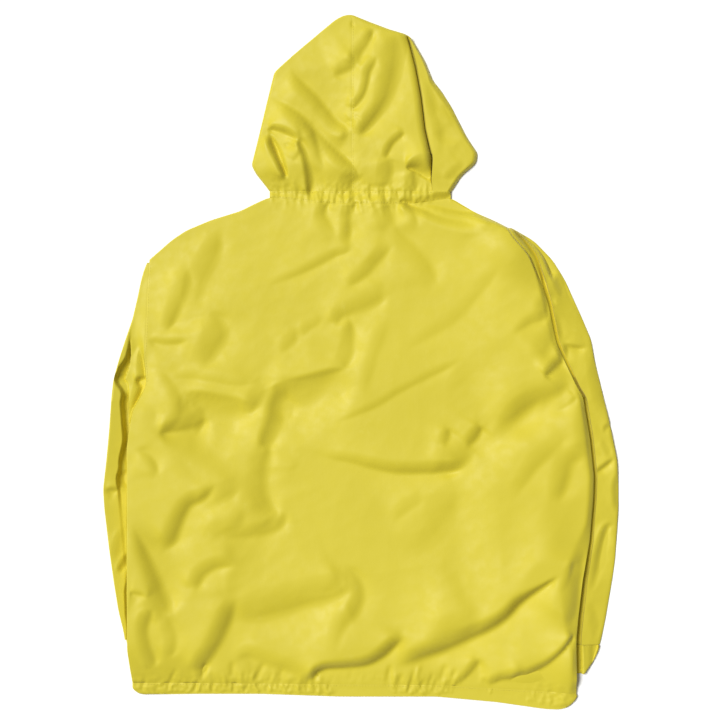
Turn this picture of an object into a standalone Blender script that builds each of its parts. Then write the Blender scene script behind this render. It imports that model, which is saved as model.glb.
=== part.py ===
"""Anorak pullover laid out flat with its back up, hood above the neck and sleeves
folded down beneath the sides.

Seen from above, +X is right, +Y points from the hem to the hood and +Z is up.
The garment rests on z = 0. Every piece is one wall of cloth: a grid of points for
its outer face, the same grid moved in by the wall for its inner face, and rims.
Tables and functions work in millimetres, and the meshes are made in metres.
"""

import bpy
import numpy as np

# Driving dimensions, in millimetres.
MM = 0.001
WALL = 3.0          # shell cloth and its lining together
CLEAR = 0.4         # between two layers that lie on each other
SEAM_GAP = 0.3      # between two pieces sewn edge to edge
LOFT = 3.5          # how far an upper layer stands off the one below
EDGE_ROLL = 7.0     # how far in from a folded edge the cloth is round
CASING_BULGE = 1.2  # how much fuller a casing is along its middle
BAND_FOLD = 3.4     # extra thickness of the face band where its edge is turned

STACK = 2 * WALL + CLEAR            # two layers lying flat on each other
PAIR = STACK + LOFT                 # an upper and a lower layer with their loft
SLEEVE_BED = STACK + CLEAR          # height of the body where it lies on a sleeve

# Body outline, rows of (y, x), from the hem seam up to the end of the shoulder.
# The armholes are the stretches above the underarms.
LEFT_UNDERARM = -86
RIGHT_UNDERARM = -50
LEFT_SIDE = (
    (-465, -333), (-417, -339), (-120, -339), (LEFT_UNDERARM, -334), (-70, -331),
    (-33, -311), (-14, -312), (8, -315), (53, -312), (105, -310), (150, -307),
)
RIGHT_SIDE = (
    (-481, 312), (-400, 311), (-366, 314), (-315, 320), (-257, 331), (-198, 336),
    (-165, 337), (-109, 331), (RIGHT_UNDERARM, 321), (-37, 312), (7, 292), (30, 282),
    (88, 270), (118, 260), (154, 246), (178, 230), (196, 212),
)
# How far each side is rolled down to its seam, rows of (y, share of a full roll).
LEFT_ROLL = ((LEFT_UNDERARM, 1.0), (-40, 0.0))
RIGHT_ROLL = ((RIGHT_UNDERARM, 1.0), (0, 0.6), (70, 0.6), (140, 0.0))

# Shoulders and neck seam, and the hem seam, rows of (x, y).
NECK_LEFT = -134
NECK_RIGHT = 130
TOP_LINE = (
    (-307, 150), (-292, 163), (-275, 178), (-254, 192), (-218, 207), (-176, 220),
    (-154, 231), (NECK_LEFT, 240), (-89, 235), (-55, 231), (60, 230), (88, 233),
    (NECK_RIGHT, 239), (165, 218), (191, 207), (212, 196),
)
HEM_SEAM = ((-333, -465), (-31, -468), (114, -469), (312, -481))
HEM_EDGE = (
    (-333, -472), (-330, -479), (-321, -483), (-241, -482), (-147, -482), (-31, -486),
    (108, -486), (196, -494), (282, -505), (300, -503), (309, -496), (312, -484),
)

# Sleeves: outer edge, and inner edge along the armhole or beneath the body, (y, x).
LEFT_SLEEVE_EDGE = (
    (-402, -344), (-388, -346), (-359, -353), (-315, -360), (-272, -366),
    (-214, -373), (-185, -375), (-141, -370), (-98, -366), (-54, -363), (-25, -360),
    (4, -352), (33, -343), (62, -333), (91, -326), (120, -320), (134, -316),
    (146, -311),
)
RIGHT_SLEEVE_EDGE = (
    (-410, 347), (-402, 349), (-373, 355), (-344, 360), (-315, 365), (-286, 369),
    (-243, 372), (-207, 374), (-178, 374), (-141, 372), (-83, 360), (-25, 346),
    (4, 339), (33, 333), (62, 320), (91, 307), (120, 294), (149, 276), (178, 247),
    (190, 228),
)
LEFT_SLEEVE_INNER = (
    (-402, -248), (-300, -222), (-205, -213), (-160, -245), (-120, -300), (-96, -331),
    (LEFT_UNDERARM, -334),
)
RIGHT_SLEEVE_INNER = (
    (-410, 254), (-300, 222), (-180, 214), (-130, 245), (-85, 300), (-60, 319),
    (RIGHT_UNDERARM, 321),
)
# Rows of either sleeve at the cuff, just below the underarm, and the topmost it may have.
LEFT_SLEEVE_ENDS = {"cuff": -402, "below_underarm": (-100, -94, -90), "top": 144}
RIGHT_SLEEVE_ENDS = {"cuff": -410, "below_underarm": (-64, -58, -54), "top": 190}

# Cuffs: (x of the inner end, x of the outer end) at the sleeve and at the free end,
# and y at the sleeve, at the inner free end and at the outer free end.
LEFT_CUFF = {"at_sleeve": (-250, -342), "at_end": (-256, -330), "y": (-402.5, -434, -435)}
RIGHT_CUFF = {"at_sleeve": (256, 346), "at_end": (262, 324), "y": (-410.5, -438, -452)}

# Hood, rows of (y, x) for the sides and (x, y) for the top.
HOOD_SEAM = -14                      # the seam between the two side panels
HOOD_BOTTOM = 249
HOOD_PEAK = 505
HOOD_LEFT_EDGE = (
    (249, -134), (262, -144), (273, -153), (286, -160), (330, -149), (376, -138),
    (421, -127), (442, -104),
)
HOOD_PLEAT = ((249, 103), (265, 101), (299, 101), (337, 92), (386, 86), (428, 78),
              (459, 70), (477, 65))
BAND_RIGHT_EDGE = (
    (249, 130), (272, 144), (290, 165), (304, 167), (328, 151), (373, 128), (410, 102),
    (439, 91), (470, 74),
)
HOOD_TOP = ((-104, 442), (-72, 469), (-37, 498), (-25, 504), (-14, 505), (17, 493),
            (41, 484), (65, 477), (74, 470))
FACE_SLIT = ((249, 4), (275, 14), (340, 17), (400, 14), (440, 0.2), (505, 0.2))

# Folds, rows of (x, y, end x, end y, bow, half width, height). The bow moves the
# middle of the line to the left of its direction, and a negative height is a valley.
BODY_FOLDS = (
    (282, -304, 41, -434, 14, 12, -6.0),      # long valley to the hem, right
    (262, -268, 40, -388, 10, 26, 5.0),       # the billow above it
    (312, -389, 185, -471, 16, 9, -4.0),      # valley across the right hem corner
    (300, -250, 278, -330, 0, 16, -4.0),      # facet above the right hem corner
    (57, -398, -65, -444, 12, 13, -4.5),      # valley into the hem, middle
    (20, -372, -90, -430, 8, 22, 3.0),
    (-189, -343, -241, -441, -6, 12, -5.0),   # edge of the sleeve beneath, left
    (-160, -350, -205, -450, 0, 20, 2.5),
    (-222, -188, -291, -263, -10, 10, -4.0),
    (-328, -241, -279, -361, -6, 15, -3.0),
    (-233, -11, -36, -8, -14, 12, -4.0),      # valley across the shoulder blades
    (-36, -8, -21, 54, -4, 10, -3.5),
    (56, 92, -107, -108, 10, 20, 4.5),        # broad ridge down the middle
    (-150, -30, -162, -65, 0, 9, -2.5),
    (-118, -44, -135, -117, 0, 9, -2.5),
    (-275, -20, -270, -88, -22, 14, 2.5),
    (-275, -60, -226, -100, -4, 14, -3.5),
    (-12, 165, -136, 118, 2, 9, -2.0),
    (31, 165, -24, 112, 4, 9, -2.5),
    (28, 98, -85, 47, 4, 10, -2.5),
    (291, 9, 199, -115, 6, 16, -4.0),         # below the right armhole
    (250, 20, 170, -95, 0, 20, 2.5),
    (152, 24, 15, -57, -6, 12, -2.0),
    (-218, 170, -279, 47, 14, 17, -3.5),      # hollow beside the left armhole
    (-215, 64, -230, -2, 18, 15, -2.5),
    (11, -149, 146, -154, 0, 14, -2.0),
    (49, -210, 60, -270, 40, 14, -2.0),
    (-187, -291, -241, -317, 8, 11, -2.0),
    (54, 234, 172, 192, -12, 7, -4.0),        # from the neck casing to the shoulder
    (76, 226, 172, 208, -8, 6, -2.5),
    (-60, 221, -41, 188, 0, 6, -3.0),
    (-24, 223, -22, 182, 0, 6, -3.5),
    (31, 235, 30, 207, 0, 5, -2.5),
    (-128, 227, -76, 231, 0, 5, -2.0),
)
HOOD_FOLDS = (
    (12, 479, -12, 434, 3, 6, -4.0),
    (14, 437, -15, 366, 8, 6, -5.0),
    (58, 424, -9, 328, 8, 9, -8.0),           # valley right of the centre seam
    (24, 480, 25, 430, 0, 10, 5.0),
    (80, 400, 30, 320, 4, 16, 5.0),
    (-43, 417, -20, 430, 0, 7, -3.0),
    (-102, 414, -14, 334, -6, 10, -4.5),
    (-130, 372, -18, 276, 4, 12, -4.5),
    (-131, 341, -53, 281, -10, 6, -5.0),
    (-92, 318, -76, 253, 7, 7, -6.5),
    (-137, 341, -109, 259, -5, 6, -6.5),      # slit beside the left edge
    (59, 330, 33, 299, -4, 5, -4.0),
    (-60, 470, -100, 330, 0, 34, 4.0),
    (40, 330, 30, 262, 0, 28, 4.0),
)
SLEEVE_FOLDS = (
    (345, -160, 367, -143, 0, 5, -2.5),
    (353, -253, 337, -330, 0, 6, -2.5),
    (300, 21, 330, 40, 0, 8, -2.5),
    (340, 10, 366, -120, 0, 6, -1.5),
    (-358, -180, -342, -189, 0, 5, -2.5),
    (-352, -300, -340, -275, 0, 6, -2.5),
)

# Gathers, rows of (x, half width, height), along the casings.
NECK_GATHERS = (
    (-106, 5, -1.4), (-93, 4, 1.3), (-80, 4, -2.0), (-67, 4, 1.2), (-58, 4, -1.6),
    (-47, 4, 1.3), (-36, 4, -2.0), (-27, 3.5, 1.3), (-19, 3.5, -2.2), (-11, 3.5, 1.2),
    (-3, 3.5, -2.2), (6, 4, 1.4), (15, 4, -1.8), (24, 3.5, 1.3), (31, 3.5, -2.0),
    (40, 4, 1.3), (49, 4, -2.0), (58, 4, 1.2), (67, 4, -1.6), (77, 4, 1.3),
    (89, 4, -1.8), (103, 5, 1.2),
)
HEM_GATHERS = (
    (-282, 8, -1.2), (-262, 7, 1.0), (-241, 6, -1.6), (-225, 6, 1.0), (-208, 6, -1.4),
    (-186, 7, 1.1), (-166, 6, -1.6), (-137, 6, -1.4), (-120, 6, 1.0), (-109, 6, -1.4),
    (-80, 8, 1.0), (-44, 6, -1.8), (-30, 5, 1.2), (-21, 5, -1.6), (-10, 5, -1.6),
    (12, 6, 1.2), (36, 6, -1.8), (48, 5, 1.1), (60, 6, -1.6), (75, 6, 1.2),
    (89, 6, -1.8), (108, 6, -1.6), (125, 7, 1.2), (143, 6, -1.8), (157, 6, 1.0),
    (172, 6, -1.6), (196, 6, -1.4),
)
CUFF_GATHERS = ((-9, 4, -1.6), (0, 4, 1.2), (9, 4, -1.6))

# Material: light yellow nylon shell, in linear colour.
CLOTH_COLOUR = (0.72, 0.61, 0.075, 1.0)
CLOTH_ROUGHNESS = 0.62


def clear_scene():
    for old in list(bpy.data.objects):
        bpy.data.objects.remove(old, do_unlink=True)


def cloth_material(name):
    """The same cloth on every piece, one material each."""
    material = bpy.data.materials.new(name)
    material.use_nodes = True
    shader = material.node_tree.nodes["Principled BSDF"]
    shader.inputs["Base Color"].default_value = CLOTH_COLOUR
    shader.inputs["Roughness"].default_value = CLOTH_ROUGHNESS
    shader.inputs["Metallic"].default_value = 0.0
    return material


def smooth(value):
    """0 below 0, 1 above 1 and an S-curve between."""
    part = np.clip(value, 0.0, 1.0)
    return part * part * (3.0 - 2.0 * part)


def line(table, at, rounding=3.0):
    """Reads a table of (place, value) at any places, with its corners rounded."""
    places, values = np.array(sorted(table), dtype=float).T
    from_end = np.minimum(at - places[0], places[-1] - at)
    reach = np.clip(from_end, 0.0, rounding)
    shifts = np.linspace(-1.0, 1.0, 5)
    return sum(np.interp(at + shift * reach, places, values) for shift in shifts) / 5


def quarter_round(distance, reach):
    """Rises from 0 to 1 over the reach, like a quarter of an ellipse."""
    rest = 1.0 - np.clip(distance / reach, 0.0, 1.0)
    return np.sqrt(1.0 - rest * rest)


def fold_heights(rows, x, y):
    """Sum of the folds in a table: a bell across each line that dies out at its ends."""
    total = np.zeros_like(x)
    for x0, y0, x1, y1, bow, half_width, height in rows:
        along = np.array((x1 - x0, y1 - y0), dtype=float)
        length = np.hypot(*along)
        along /= length
        share = ((x - x0) * along[0] + (y - y0) * along[1]) / length
        bend = bow * 4.0 * np.clip(share * (1.0 - share), 0.0, 0.25)
        aside = (y - y0) * along[0] - (x - x0) * along[1] - bend
        ends = np.maximum(0.0, np.abs(share - 0.5) - 0.32) * length / (1.3 * half_width)
        total += height * np.exp(-((aside / half_width) ** 2) - ends**2)
    return total


def gather_heights(rows, x):
    return sum(height * np.exp(-(((x - at) / wide) ** 2)) for at, wide, height in rows)


def spread(count, near_start, near_end, length):
    """Shares from 0 to 1, closer together within a rolled edge at either end."""
    close = np.array((0.0, 0.12, 0.45, 1.0)) * EDGE_ROLL / length
    first = close if near_start else close[:1]
    last = 1.0 - (close if near_end else close[:1])[::-1]
    return np.concatenate((first, np.linspace(first[-1], last[0], count)[1:-1], last))


def wall_piece(name, outer, inner, looped=False):
    """One closed wall from two grids of the same size, with rims round the open sides.

    A looped piece closes on itself along its first direction.
    """
    columns, rows = outer.shape[:2]
    points = np.concatenate((outer.reshape(-1, 3), inner.reshape(-1, 3)))
    index = np.arange(columns * rows).reshape(columns, rows)
    if looped:
        index = np.concatenate((index, index[:1]))
    a, b, c, d = index[:-1, :-1], index[1:, :-1], index[1:, 1:], index[:-1, 1:]
    face = np.concatenate((np.stack((a, b, c), -1).reshape(-1, 3),
                           np.stack((a, c, d), -1).reshape(-1, 3)))
    under = face[:, ::-1] + columns * rows
    edges = [index[:, 0], index[::-1, -1]]
    if not looped:
        edges += [index[-1, :], index[0, ::-1]]
    rims = []
    for edge in edges:
        start, end = edge[:-1], edge[1:]
        below_start, below_end = start + columns * rows, end + columns * rows
        rims.append(np.stack((start, below_start, end), -1))
        rims.append(np.stack((end, below_start, below_end), -1))
    faces = np.concatenate([face, under] + rims)
    corner = points[faces]
    if np.einsum("ij,ij->", corner[:, 0], np.cross(corner[:, 1], corner[:, 2])) < 0:
        faces = faces[:, ::-1]
    return mesh_object(name, points, faces)


def mesh_object(name, points, faces):
    """A smooth mesh object whose origin is on the floor beneath its middle."""
    low, high = points.min(axis=0), points.max(axis=0)
    origin = np.array(((low[0] + high[0]) / 2, (low[1] + high[1]) / 2, 0.0))
    mesh = bpy.data.meshes.new(name)
    mesh.from_pydata(((points - origin) * MM).tolist(), [], faces.tolist())
    mesh.shade_smooth()
    mesh.set_sharp_from_angle(angle=np.radians(50))
    mesh.materials.append(cloth_material(name + "_cloth"))
    piece = bpy.data.objects.new(name, mesh)
    piece.location = origin * MM
    bpy.context.scene.collection.objects.link(piece)
    return piece


# ---- body -----------------------------------------------------------------

def neck_roll(x):
    """1 along the shoulders, where the cloth folds over, and 0 along the neck seam."""
    inside = np.minimum(x - NECK_LEFT, NECK_RIGHT - x)
    return 1.0 - smooth(inside / (1.5 * EDGE_ROLL))


def sleeve_bed(x, y):
    """Height of what the body lies on: 0 on the floor, SLEEVE_BED over a sleeve."""
    beneath = np.zeros_like(x)
    for inner, sign, underarm in ((LEFT_SLEEVE_INNER, 1.0, LEFT_UNDERARM),
                                  (RIGHT_SLEEVE_INNER, -1.0, RIGHT_UNDERARM)):
        past = sign * (line(inner, y) - x) + 85.0
        reach = smooth(past / 25.0) * smooth((underarm + 55.0 - y) / 45.0)
        beneath = np.maximum(beneath, reach * smooth((y - line(HEM_SEAM, x)) / 24.0))
    return SLEEVE_BED * beneath


def body_columns():
    """Shares across the body, with one at either end of the neck seam."""
    edge = spread(3, True, True, HEM_SEAM[-1][0] - HEM_SEAM[0][0])
    start, end = TOP_LINE[0][0], TOP_LINE[-1][0]
    neck = [(x - start) / (end - start) for x in (NECK_LEFT, NECK_RIGHT)]
    inner = (np.linspace(edge[3], neck[0], 9), np.linspace(neck[0], neck[1], 13)[1:],
             np.linspace(neck[1], edge[-4], 6)[1:])
    return np.concatenate((edge[:3], *inner, edge[-3:]))


def body_rows():
    """Shares up the body, with one at either underarm."""
    edge = spread(3, False, True, LEFT_SIDE[-1][0] - LEFT_SIDE[0][0])
    left, right = [(underarm - side[0][0]) / (side[-1][0] - side[0][0])
                   for side, underarm in ((LEFT_SIDE, LEFT_UNDERARM),
                                          (RIGHT_SIDE, RIGHT_UNDERARM))]
    inner = np.linspace(0.0, left, 15), np.linspace(right, edge[-4], 10)
    return np.concatenate((*inner, edge[-3:]))


def side_y(side):
    """y of each row of the body where it meets one of its sides."""
    return side[0][0] + (side[-1][0] - side[0][0]) * body_rows()


def columns_at(edge):
    """x of each column of the body where it meets its hem seam or its top line."""
    return edge[0][0] + (edge[-1][0] - edge[0][0]) * body_columns()


def chord(table, at, places):
    """A table's line as the body's straight cells between these places follow it."""
    return np.interp(at, places, line(table, places))


def body_plan(inset):
    """Grid of x and y over the body, its rolled edges moved in by the inset."""
    u, v = body_columns()[:, None], body_rows()[None, :]
    left_y, right_y = side_y(LEFT_SIDE)[None, :], side_y(RIGHT_SIDE)[None, :]
    left = line(LEFT_SIDE, left_y) + inset * line(LEFT_ROLL, left_y)
    right = line(RIGHT_SIDE, right_y) - inset * line(RIGHT_ROLL, right_y)
    x = left + (right - left) * u
    low = chord(HEM_SEAM, x[:, :1], columns_at(HEM_SEAM)) + SEAM_GAP
    high = chord(TOP_LINE, x[:, -1:], columns_at(TOP_LINE))
    high = high - inset * neck_roll(x[:, -1:])
    return x, low + (high - low) * v


def body_edge(x, y, inset):
    """0 on a folded edge of the body and 1 away from it."""
    reach = EDGE_ROLL - inset
    left_roll, right_roll, top_roll = line(LEFT_ROLL, y), line(RIGHT_ROLL, y), neck_roll(x)
    from_left = x - line(LEFT_SIDE, y) - inset * left_roll
    from_right = line(RIGHT_SIDE, y) - inset * right_roll - x
    from_top = line(TOP_LINE, x) - inset * top_roll - y
    rise = 1.0 - left_roll * (1.0 - quarter_round(from_left, reach))
    rise = rise * (1.0 - right_roll * (1.0 - quarter_round(from_right, reach)))
    return rise * (1.0 - top_roll * (1.0 - quarter_round(from_top, reach)))


def body_folds(x, y):
    """Fold heights, no deeper than the loft, and fading out over the casings."""
    folds = fold_heights(BODY_FOLDS, x, y)
    return np.maximum(folds, -LOFT)


def back_surface(x, y, inset):
    """Height of the back panel's outer face, or of its inner face with the inset."""
    bed = sleeve_bed(x, y)
    seam = bed + PAIR / 2 + SEAM_GAP / 2
    crest = bed + PAIR + body_folds(x, y) - inset
    return seam + (crest - seam) * body_edge(x, y, inset)


def front_surface(x, y, inset):
    """Height of the front panel's outer face, which is its underside."""
    bed = sleeve_bed(x, y)
    seam = bed + PAIR / 2 - SEAM_GAP / 2
    base = bed + np.maximum(body_folds(x, y), 0.0) + inset
    return seam + (base - seam) * body_edge(x, y, inset)


def body_panel(name, surface):
    grids = []
    for inset in (0.0, WALL):
        x, y = body_plan(inset)
        grids.append(np.stack((x, y, surface(x, y, inset)), -1))
    return wall_piece(name, *grids)


# ---- sleeves --------------------------------------------------------------

def sleeve_rows(body_side, ends):
    """y of the sections of a sleeve: the body's own rows, so that their seam fits."""
    rows = side_y(body_side)
    rows = rows[(rows > ends["cuff"] + 10.0) & (rows < ends["top"])]
    return np.sort(np.concatenate(((ends["cuff"],), ends["below_underarm"], rows)))


def sleeve_grid(side, ends, outer_edge, inner_edge, inset):
    """Sections across the sleeve at each row: from the inner edge along the top,
    round the outer edge and back along the underside to the inner edge again."""
    sign, underarm, body_side = side
    y = sleeve_rows(body_side, ends)[None, :]
    armhole = y > underarm
    outer = line(outer_edge, y)
    seam_x = chord(body_side, y, side_y(body_side))
    inner = np.where(armhole, seam_x, line(inner_edge, y)) - sign * SEAM_GAP
    width = np.abs(inner - outer) - inset
    shown = np.minimum(np.abs(seam_x - outer) - 3.0, 0.8 * width)
    hidden_share = np.array((1.0, 0.6, 0.25))[:, None]
    shown_share = np.array((1.0, 0.8, 0.6, 0.42, 0.26, 0.13, 0.04, 0.0))[:, None]
    top = np.concatenate((shown + hidden_share * (width - shown), shown_share * shown))
    under_share = np.array((0.02, 0.06, 0.2, 0.5, 0.8, 1.0))[:, None]
    from_outer = np.concatenate((top, under_share * width))
    on_top = np.arange(len(from_outer))[:, None] < len(top)
    x = outer + sign * (inset + from_outer)
    y = np.broadcast_to(y, x.shape)

    body_top = back_surface(seam_x + 0 * x, y, 0.0)
    body_under = front_surface(seam_x + 0 * x, y, 0.0)
    at_seam = smooth((y - underarm + 4.0) / 4.0)
    outside = smooth((sign * (seam_x - x) - 3.0) / 12.0)
    level = STACK + LOFT * np.where(armhole, 1.0, outside)
    near = np.exp(-(((width - from_outer) / 9.0) ** 2)) * at_seam
    crest = level + (body_top - level) * near + fold_heights(SLEEVE_FOLDS, x, y)
    base = np.minimum(body_under, body_top - STACK) * near
    crest = np.maximum(crest, base + STACK)
    middle = PAIR / 2
    reach = np.maximum(np.minimum(EDGE_ROLL, 0.7 * width) - inset, 0.8)
    rise = quarter_round(from_outer, reach)
    face = np.where(on_top, crest - inset, base + inset)
    return np.stack((x, y, middle + (face - middle) * rise), -1)


def sleeve(name, side, ends, outer_edge, inner_edge):
    grids = [sleeve_grid(side, ends, outer_edge, inner_edge, inset)
             for inset in (0.0, WALL)]
    return wall_piece(name, *grids)


# ---- flat rings: casings and cuffs ----------------------------------------

def ring_loop(columns_on_top, columns_under, length):
    """Shares along a flattened ring, over the top and back, and which are on top."""
    over = spread(columns_on_top, True, True, length)
    back = spread(columns_under, True, True, length)[::-1][1:-1]
    share = np.concatenate((over, back))[:, None]
    return share, np.arange(len(share))[:, None] < len(over)


def ring(name, ends, edges, crest, columns):
    """A flattened ring of cloth. The ends and edges are functions: x of either end at
    a share across, and y at a place and a share across. The crest is its top, at a
    place and with the casing's bulge there."""
    length = abs(ends(0.0)[1] - ends(0.0)[0])
    share, on_top = ring_loop(columns[0], columns[1], length)
    across = np.linspace(0.0, 1.0, 4)[None, :]
    grids = []
    for inset in (0.0, WALL):
        start, stop = ends(across)
        x = start + inset + (stop - start - 2 * inset) * share
        y = edges(x, across)
        from_end = np.minimum(x - start, stop - x) - inset
        rise = quarter_round(from_end, EDGE_ROLL - inset)
        bulge = CASING_BULGE * np.sin(np.pi * across) * (inset == 0.0)
        top = crest(x, y, bulge) - inset
        face = np.where(on_top, top, inset)
        middle = PAIR / 2
        z = middle + (face - middle) * rise
        grids.append(np.stack((x, y, z), -1))
    return wall_piece(name, *grids, looped=True)


def hem_casing():
    def ends(across):
        return -333.0 + 0.0 * across, 312.0 + 0.0 * across

    def edges(x, across):
        seam = chord(HEM_SEAM, x, columns_at(HEM_SEAM))
        return seam + (line(HEM_EDGE, x) - seam) * across

    def crest(x, y, bulge):
        return PAIR + gather_heights(HEM_GATHERS, x) + bulge

    return ring("hem_casing", ends, edges, crest, (48, 12))


def neck_casing():
    def ends(across):
        return NECK_LEFT + 0.5 + 0.0 * across, NECK_RIGHT - 0.5 + 0.0 * across

    def edges(x, across):
        seam = chord(TOP_LINE, x, columns_at(TOP_LINE)) + SEAM_GAP
        return seam + (HOOD_BOTTOM - SEAM_GAP - seam) * across

    def crest(x, y, bulge):
        return PAIR + gather_heights(NECK_GATHERS, x) + bulge

    return ring("neck_casing", ends, edges, crest, (60, 8))


def cuff(name, sizes, body_side):
    """A gathered cuff, partly or wholly beneath the side of the body."""
    inner = sizes["at_sleeve"][0], sizes["at_end"][0]
    outer = sizes["at_sleeve"][1], sizes["at_end"][1]
    sign = 1.0 if outer[0] > inner[0] else -1.0
    y_sleeve, y_inner, y_outer = sizes["y"]

    def ends(across):
        first = inner[0] + (inner[1] - inner[0]) * across
        second = outer[0] + (outer[1] - outer[0]) * across
        return np.minimum(first, second), np.maximum(first, second)

    def edges(x, across):
        share = smooth((sign * (x - inner[0]) - 54.0) / 14.0)
        return y_sleeve + (y_inner + (y_outer - y_inner) * share - y_sleeve) * across

    def crest(x, y, bulge):
        outside = smooth((sign * (x - line(body_side, y)) - 3.0) / 8.0)
        ripples = gather_heights(CUFF_GATHERS, x - (outer[0] - sign * 14.0))
        return STACK + (LOFT + ripples + bulge) * outside

    return ring(name, ends, edges, crest, (14, 8))


# ---- hood -----------------------------------------------------------------

def hood_plan(first_edge, second_edge, high_y, columns, insets, rows=16):
    """Grid between two side lines, from the neck casing to the top of the hood."""
    u = spread(columns, insets[0] is not None, insets[1] is not None, 120)[:, None]
    v = spread(rows, False, True, 220)[None, :]
    first_in, second_in = (inset or 0.0 for inset in insets)
    low_y = HOOD_BOTTOM
    first_y = low_y + (high_y[0] - low_y) * v
    second_y = low_y + (high_y[1] - low_y) * v
    first = first_edge(first_y) + first_in
    second = second_edge(second_y) - second_in
    x = first + (second - first) * u
    top = line(HOOD_TOP, x[:, -1:]) - max(first_in, second_in)
    return x, low_y + (top - low_y) * v


def hood_dome(x, y):
    """Folds of the hood over a low dome, no deeper than the loft."""
    folds = fold_heights(HOOD_FOLDS, x, y)
    dome = 4.0 * smooth((y - HOOD_BOTTOM) / 40.0)
    return np.maximum(folds + dome, -LOFT / 2)


def hood_rise(from_side, from_top, inset):
    reach = EDGE_ROLL - inset
    return quarter_round(from_side, reach) * quarter_round(from_top, reach)


def hood_panel(name, edge, side):
    """A side panel of the hood: its back half, from the centre seam to its fold."""
    grids = []
    for inset in (0.0, WALL):
        def fold(y, edge=edge):
            return line(edge, y)

        def seam(y):
            return HOOD_SEAM + side * SEAM_GAP / 2 + 0.0 * y

        if side < 0:
            x, y = hood_plan(fold, seam, (edge[-1][0], HOOD_PEAK), 11, (inset, None))
            from_side = x - line(edge, y) - inset
        else:
            x, y = hood_plan(seam, fold, (HOOD_PEAK, edge[-1][0]), 11, (None, inset))
            from_side = line(edge, y) - inset - x
        from_top = line(HOOD_TOP, x) - inset - y
        low = PAIR / 2 + SEAM_GAP / 2 if side < 0 else STACK + CLEAR
        rise = hood_rise(from_side, from_top, inset)
        crest = PAIR + hood_dome(x, y) - inset
        grids.append(np.stack((x, y, low + (crest - low) * rise), -1))
    return wall_piece(name, *grids)


def face_band(name, edge, side):
    """Front half of the hood, on the floor, from the face opening to the outer edge."""
    grids = []
    for inset in (0.0, WALL):
        def outer(y, edge=edge):
            return line(edge, y)

        def slit(y):
            return HOOD_SEAM + side * line(FACE_SLIT, y)

        if side < 0:
            x, y = hood_plan(outer, slit, (edge[-1][0], HOOD_PEAK), 7, (inset, None))
            from_side = x - line(edge, y) - inset
        else:
            x, y = hood_plan(slit, outer, (HOOD_PEAK, edge[-1][0]), 9, (None, inset))
            from_side = line(edge, y) - inset - x
        from_top = line(HOOD_TOP, x) - inset - y
        rise = hood_rise(from_side, from_top, inset)
        lift = np.maximum(hood_dome(x, y), 0.0)
        if side > 0:
            beyond = smooth((x - line(HOOD_PLEAT, y) - 2.0) / 8.0)
            lift = lift * smooth((line(HOOD_PLEAT, y) - 4.0 - x) / 14.0)
            extra = BAND_FOLD * beyond * (inset > 0.0)
        else:
            extra = 0.0
        low = PAIR / 2 - SEAM_GAP / 2
        base = lift + inset + extra
        grids.append(np.stack((x, y, low + (base - low) * rise), -1))
    return wall_piece(name, *grids)


def build():
    clear_scene()
    body_panel("front_panel", front_surface)
    body_panel("back_panel", back_surface)
    hem_casing()
    neck_casing()
    sleeve("sleeve_left", (1.0, LEFT_UNDERARM, LEFT_SIDE), LEFT_SLEEVE_ENDS,
           LEFT_SLEEVE_EDGE, LEFT_SLEEVE_INNER)
    sleeve("sleeve_right", (-1.0, RIGHT_UNDERARM, RIGHT_SIDE), RIGHT_SLEEVE_ENDS,
           RIGHT_SLEEVE_EDGE, RIGHT_SLEEVE_INNER)
    cuff("cuff_left", LEFT_CUFF, LEFT_SIDE)
    cuff("cuff_right", RIGHT_CUFF, RIGHT_SIDE)
    hood_panel("hood_left", HOOD_LEFT_EDGE, -1)
    hood_panel("hood_right", HOOD_PLEAT, 1)
    face_band("face_band_left", HOOD_LEFT_EDGE, -1)
    face_band("face_band_right", BAND_RIGHT_EDGE, 1)


build()
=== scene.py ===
import bmesh
import bpy
import numpy as np
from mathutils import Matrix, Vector
from mathutils.bvhtree import BVHTree


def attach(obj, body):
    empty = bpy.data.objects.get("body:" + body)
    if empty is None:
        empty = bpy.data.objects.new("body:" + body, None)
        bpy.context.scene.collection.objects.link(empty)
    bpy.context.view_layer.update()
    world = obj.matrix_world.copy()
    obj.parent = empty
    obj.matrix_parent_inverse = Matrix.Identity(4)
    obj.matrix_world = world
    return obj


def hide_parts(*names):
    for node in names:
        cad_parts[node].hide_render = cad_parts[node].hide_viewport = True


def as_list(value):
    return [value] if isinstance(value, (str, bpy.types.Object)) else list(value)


# Anorak pullover laid flat, back up. Sizes are millimetres, heights are above the floor.
# x runs to the right, y from the hem to the hood. Each piece is a thin shell of cloth.

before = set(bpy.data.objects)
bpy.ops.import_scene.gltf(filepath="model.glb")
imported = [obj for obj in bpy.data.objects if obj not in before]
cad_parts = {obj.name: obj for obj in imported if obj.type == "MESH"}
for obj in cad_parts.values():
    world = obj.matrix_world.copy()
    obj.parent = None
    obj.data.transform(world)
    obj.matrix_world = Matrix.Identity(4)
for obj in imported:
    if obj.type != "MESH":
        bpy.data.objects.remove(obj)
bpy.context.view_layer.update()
mm = 0.001
print("frame loaded")


def smoothStep(value):
    # 0 below 0, 1 above 1, and 3 t^2 - 2 t^3 between
    part = np.clip(value, 0.0, 1.0)
    return part * part * (3.0 - 2.0 * part)


def ramp(place, lean):
    # 0 below -1, 1 above 1; between them the slope grows evenly up to the lean and then
    # falls evenly: (t + 1)^2 / (2 (1 + lean)) before it, 1 - (1 - t)^2 / (2 (1 - lean)) after
    t = np.clip(place, -1.0, 1.0)
    return np.where(t < lean, (t + 1.0) ** 2 / (2.0 * (1.0 + lean)),
                    1.0 - (1.0 - t) ** 2 / (2.0 * (1.0 - lean)))


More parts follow.
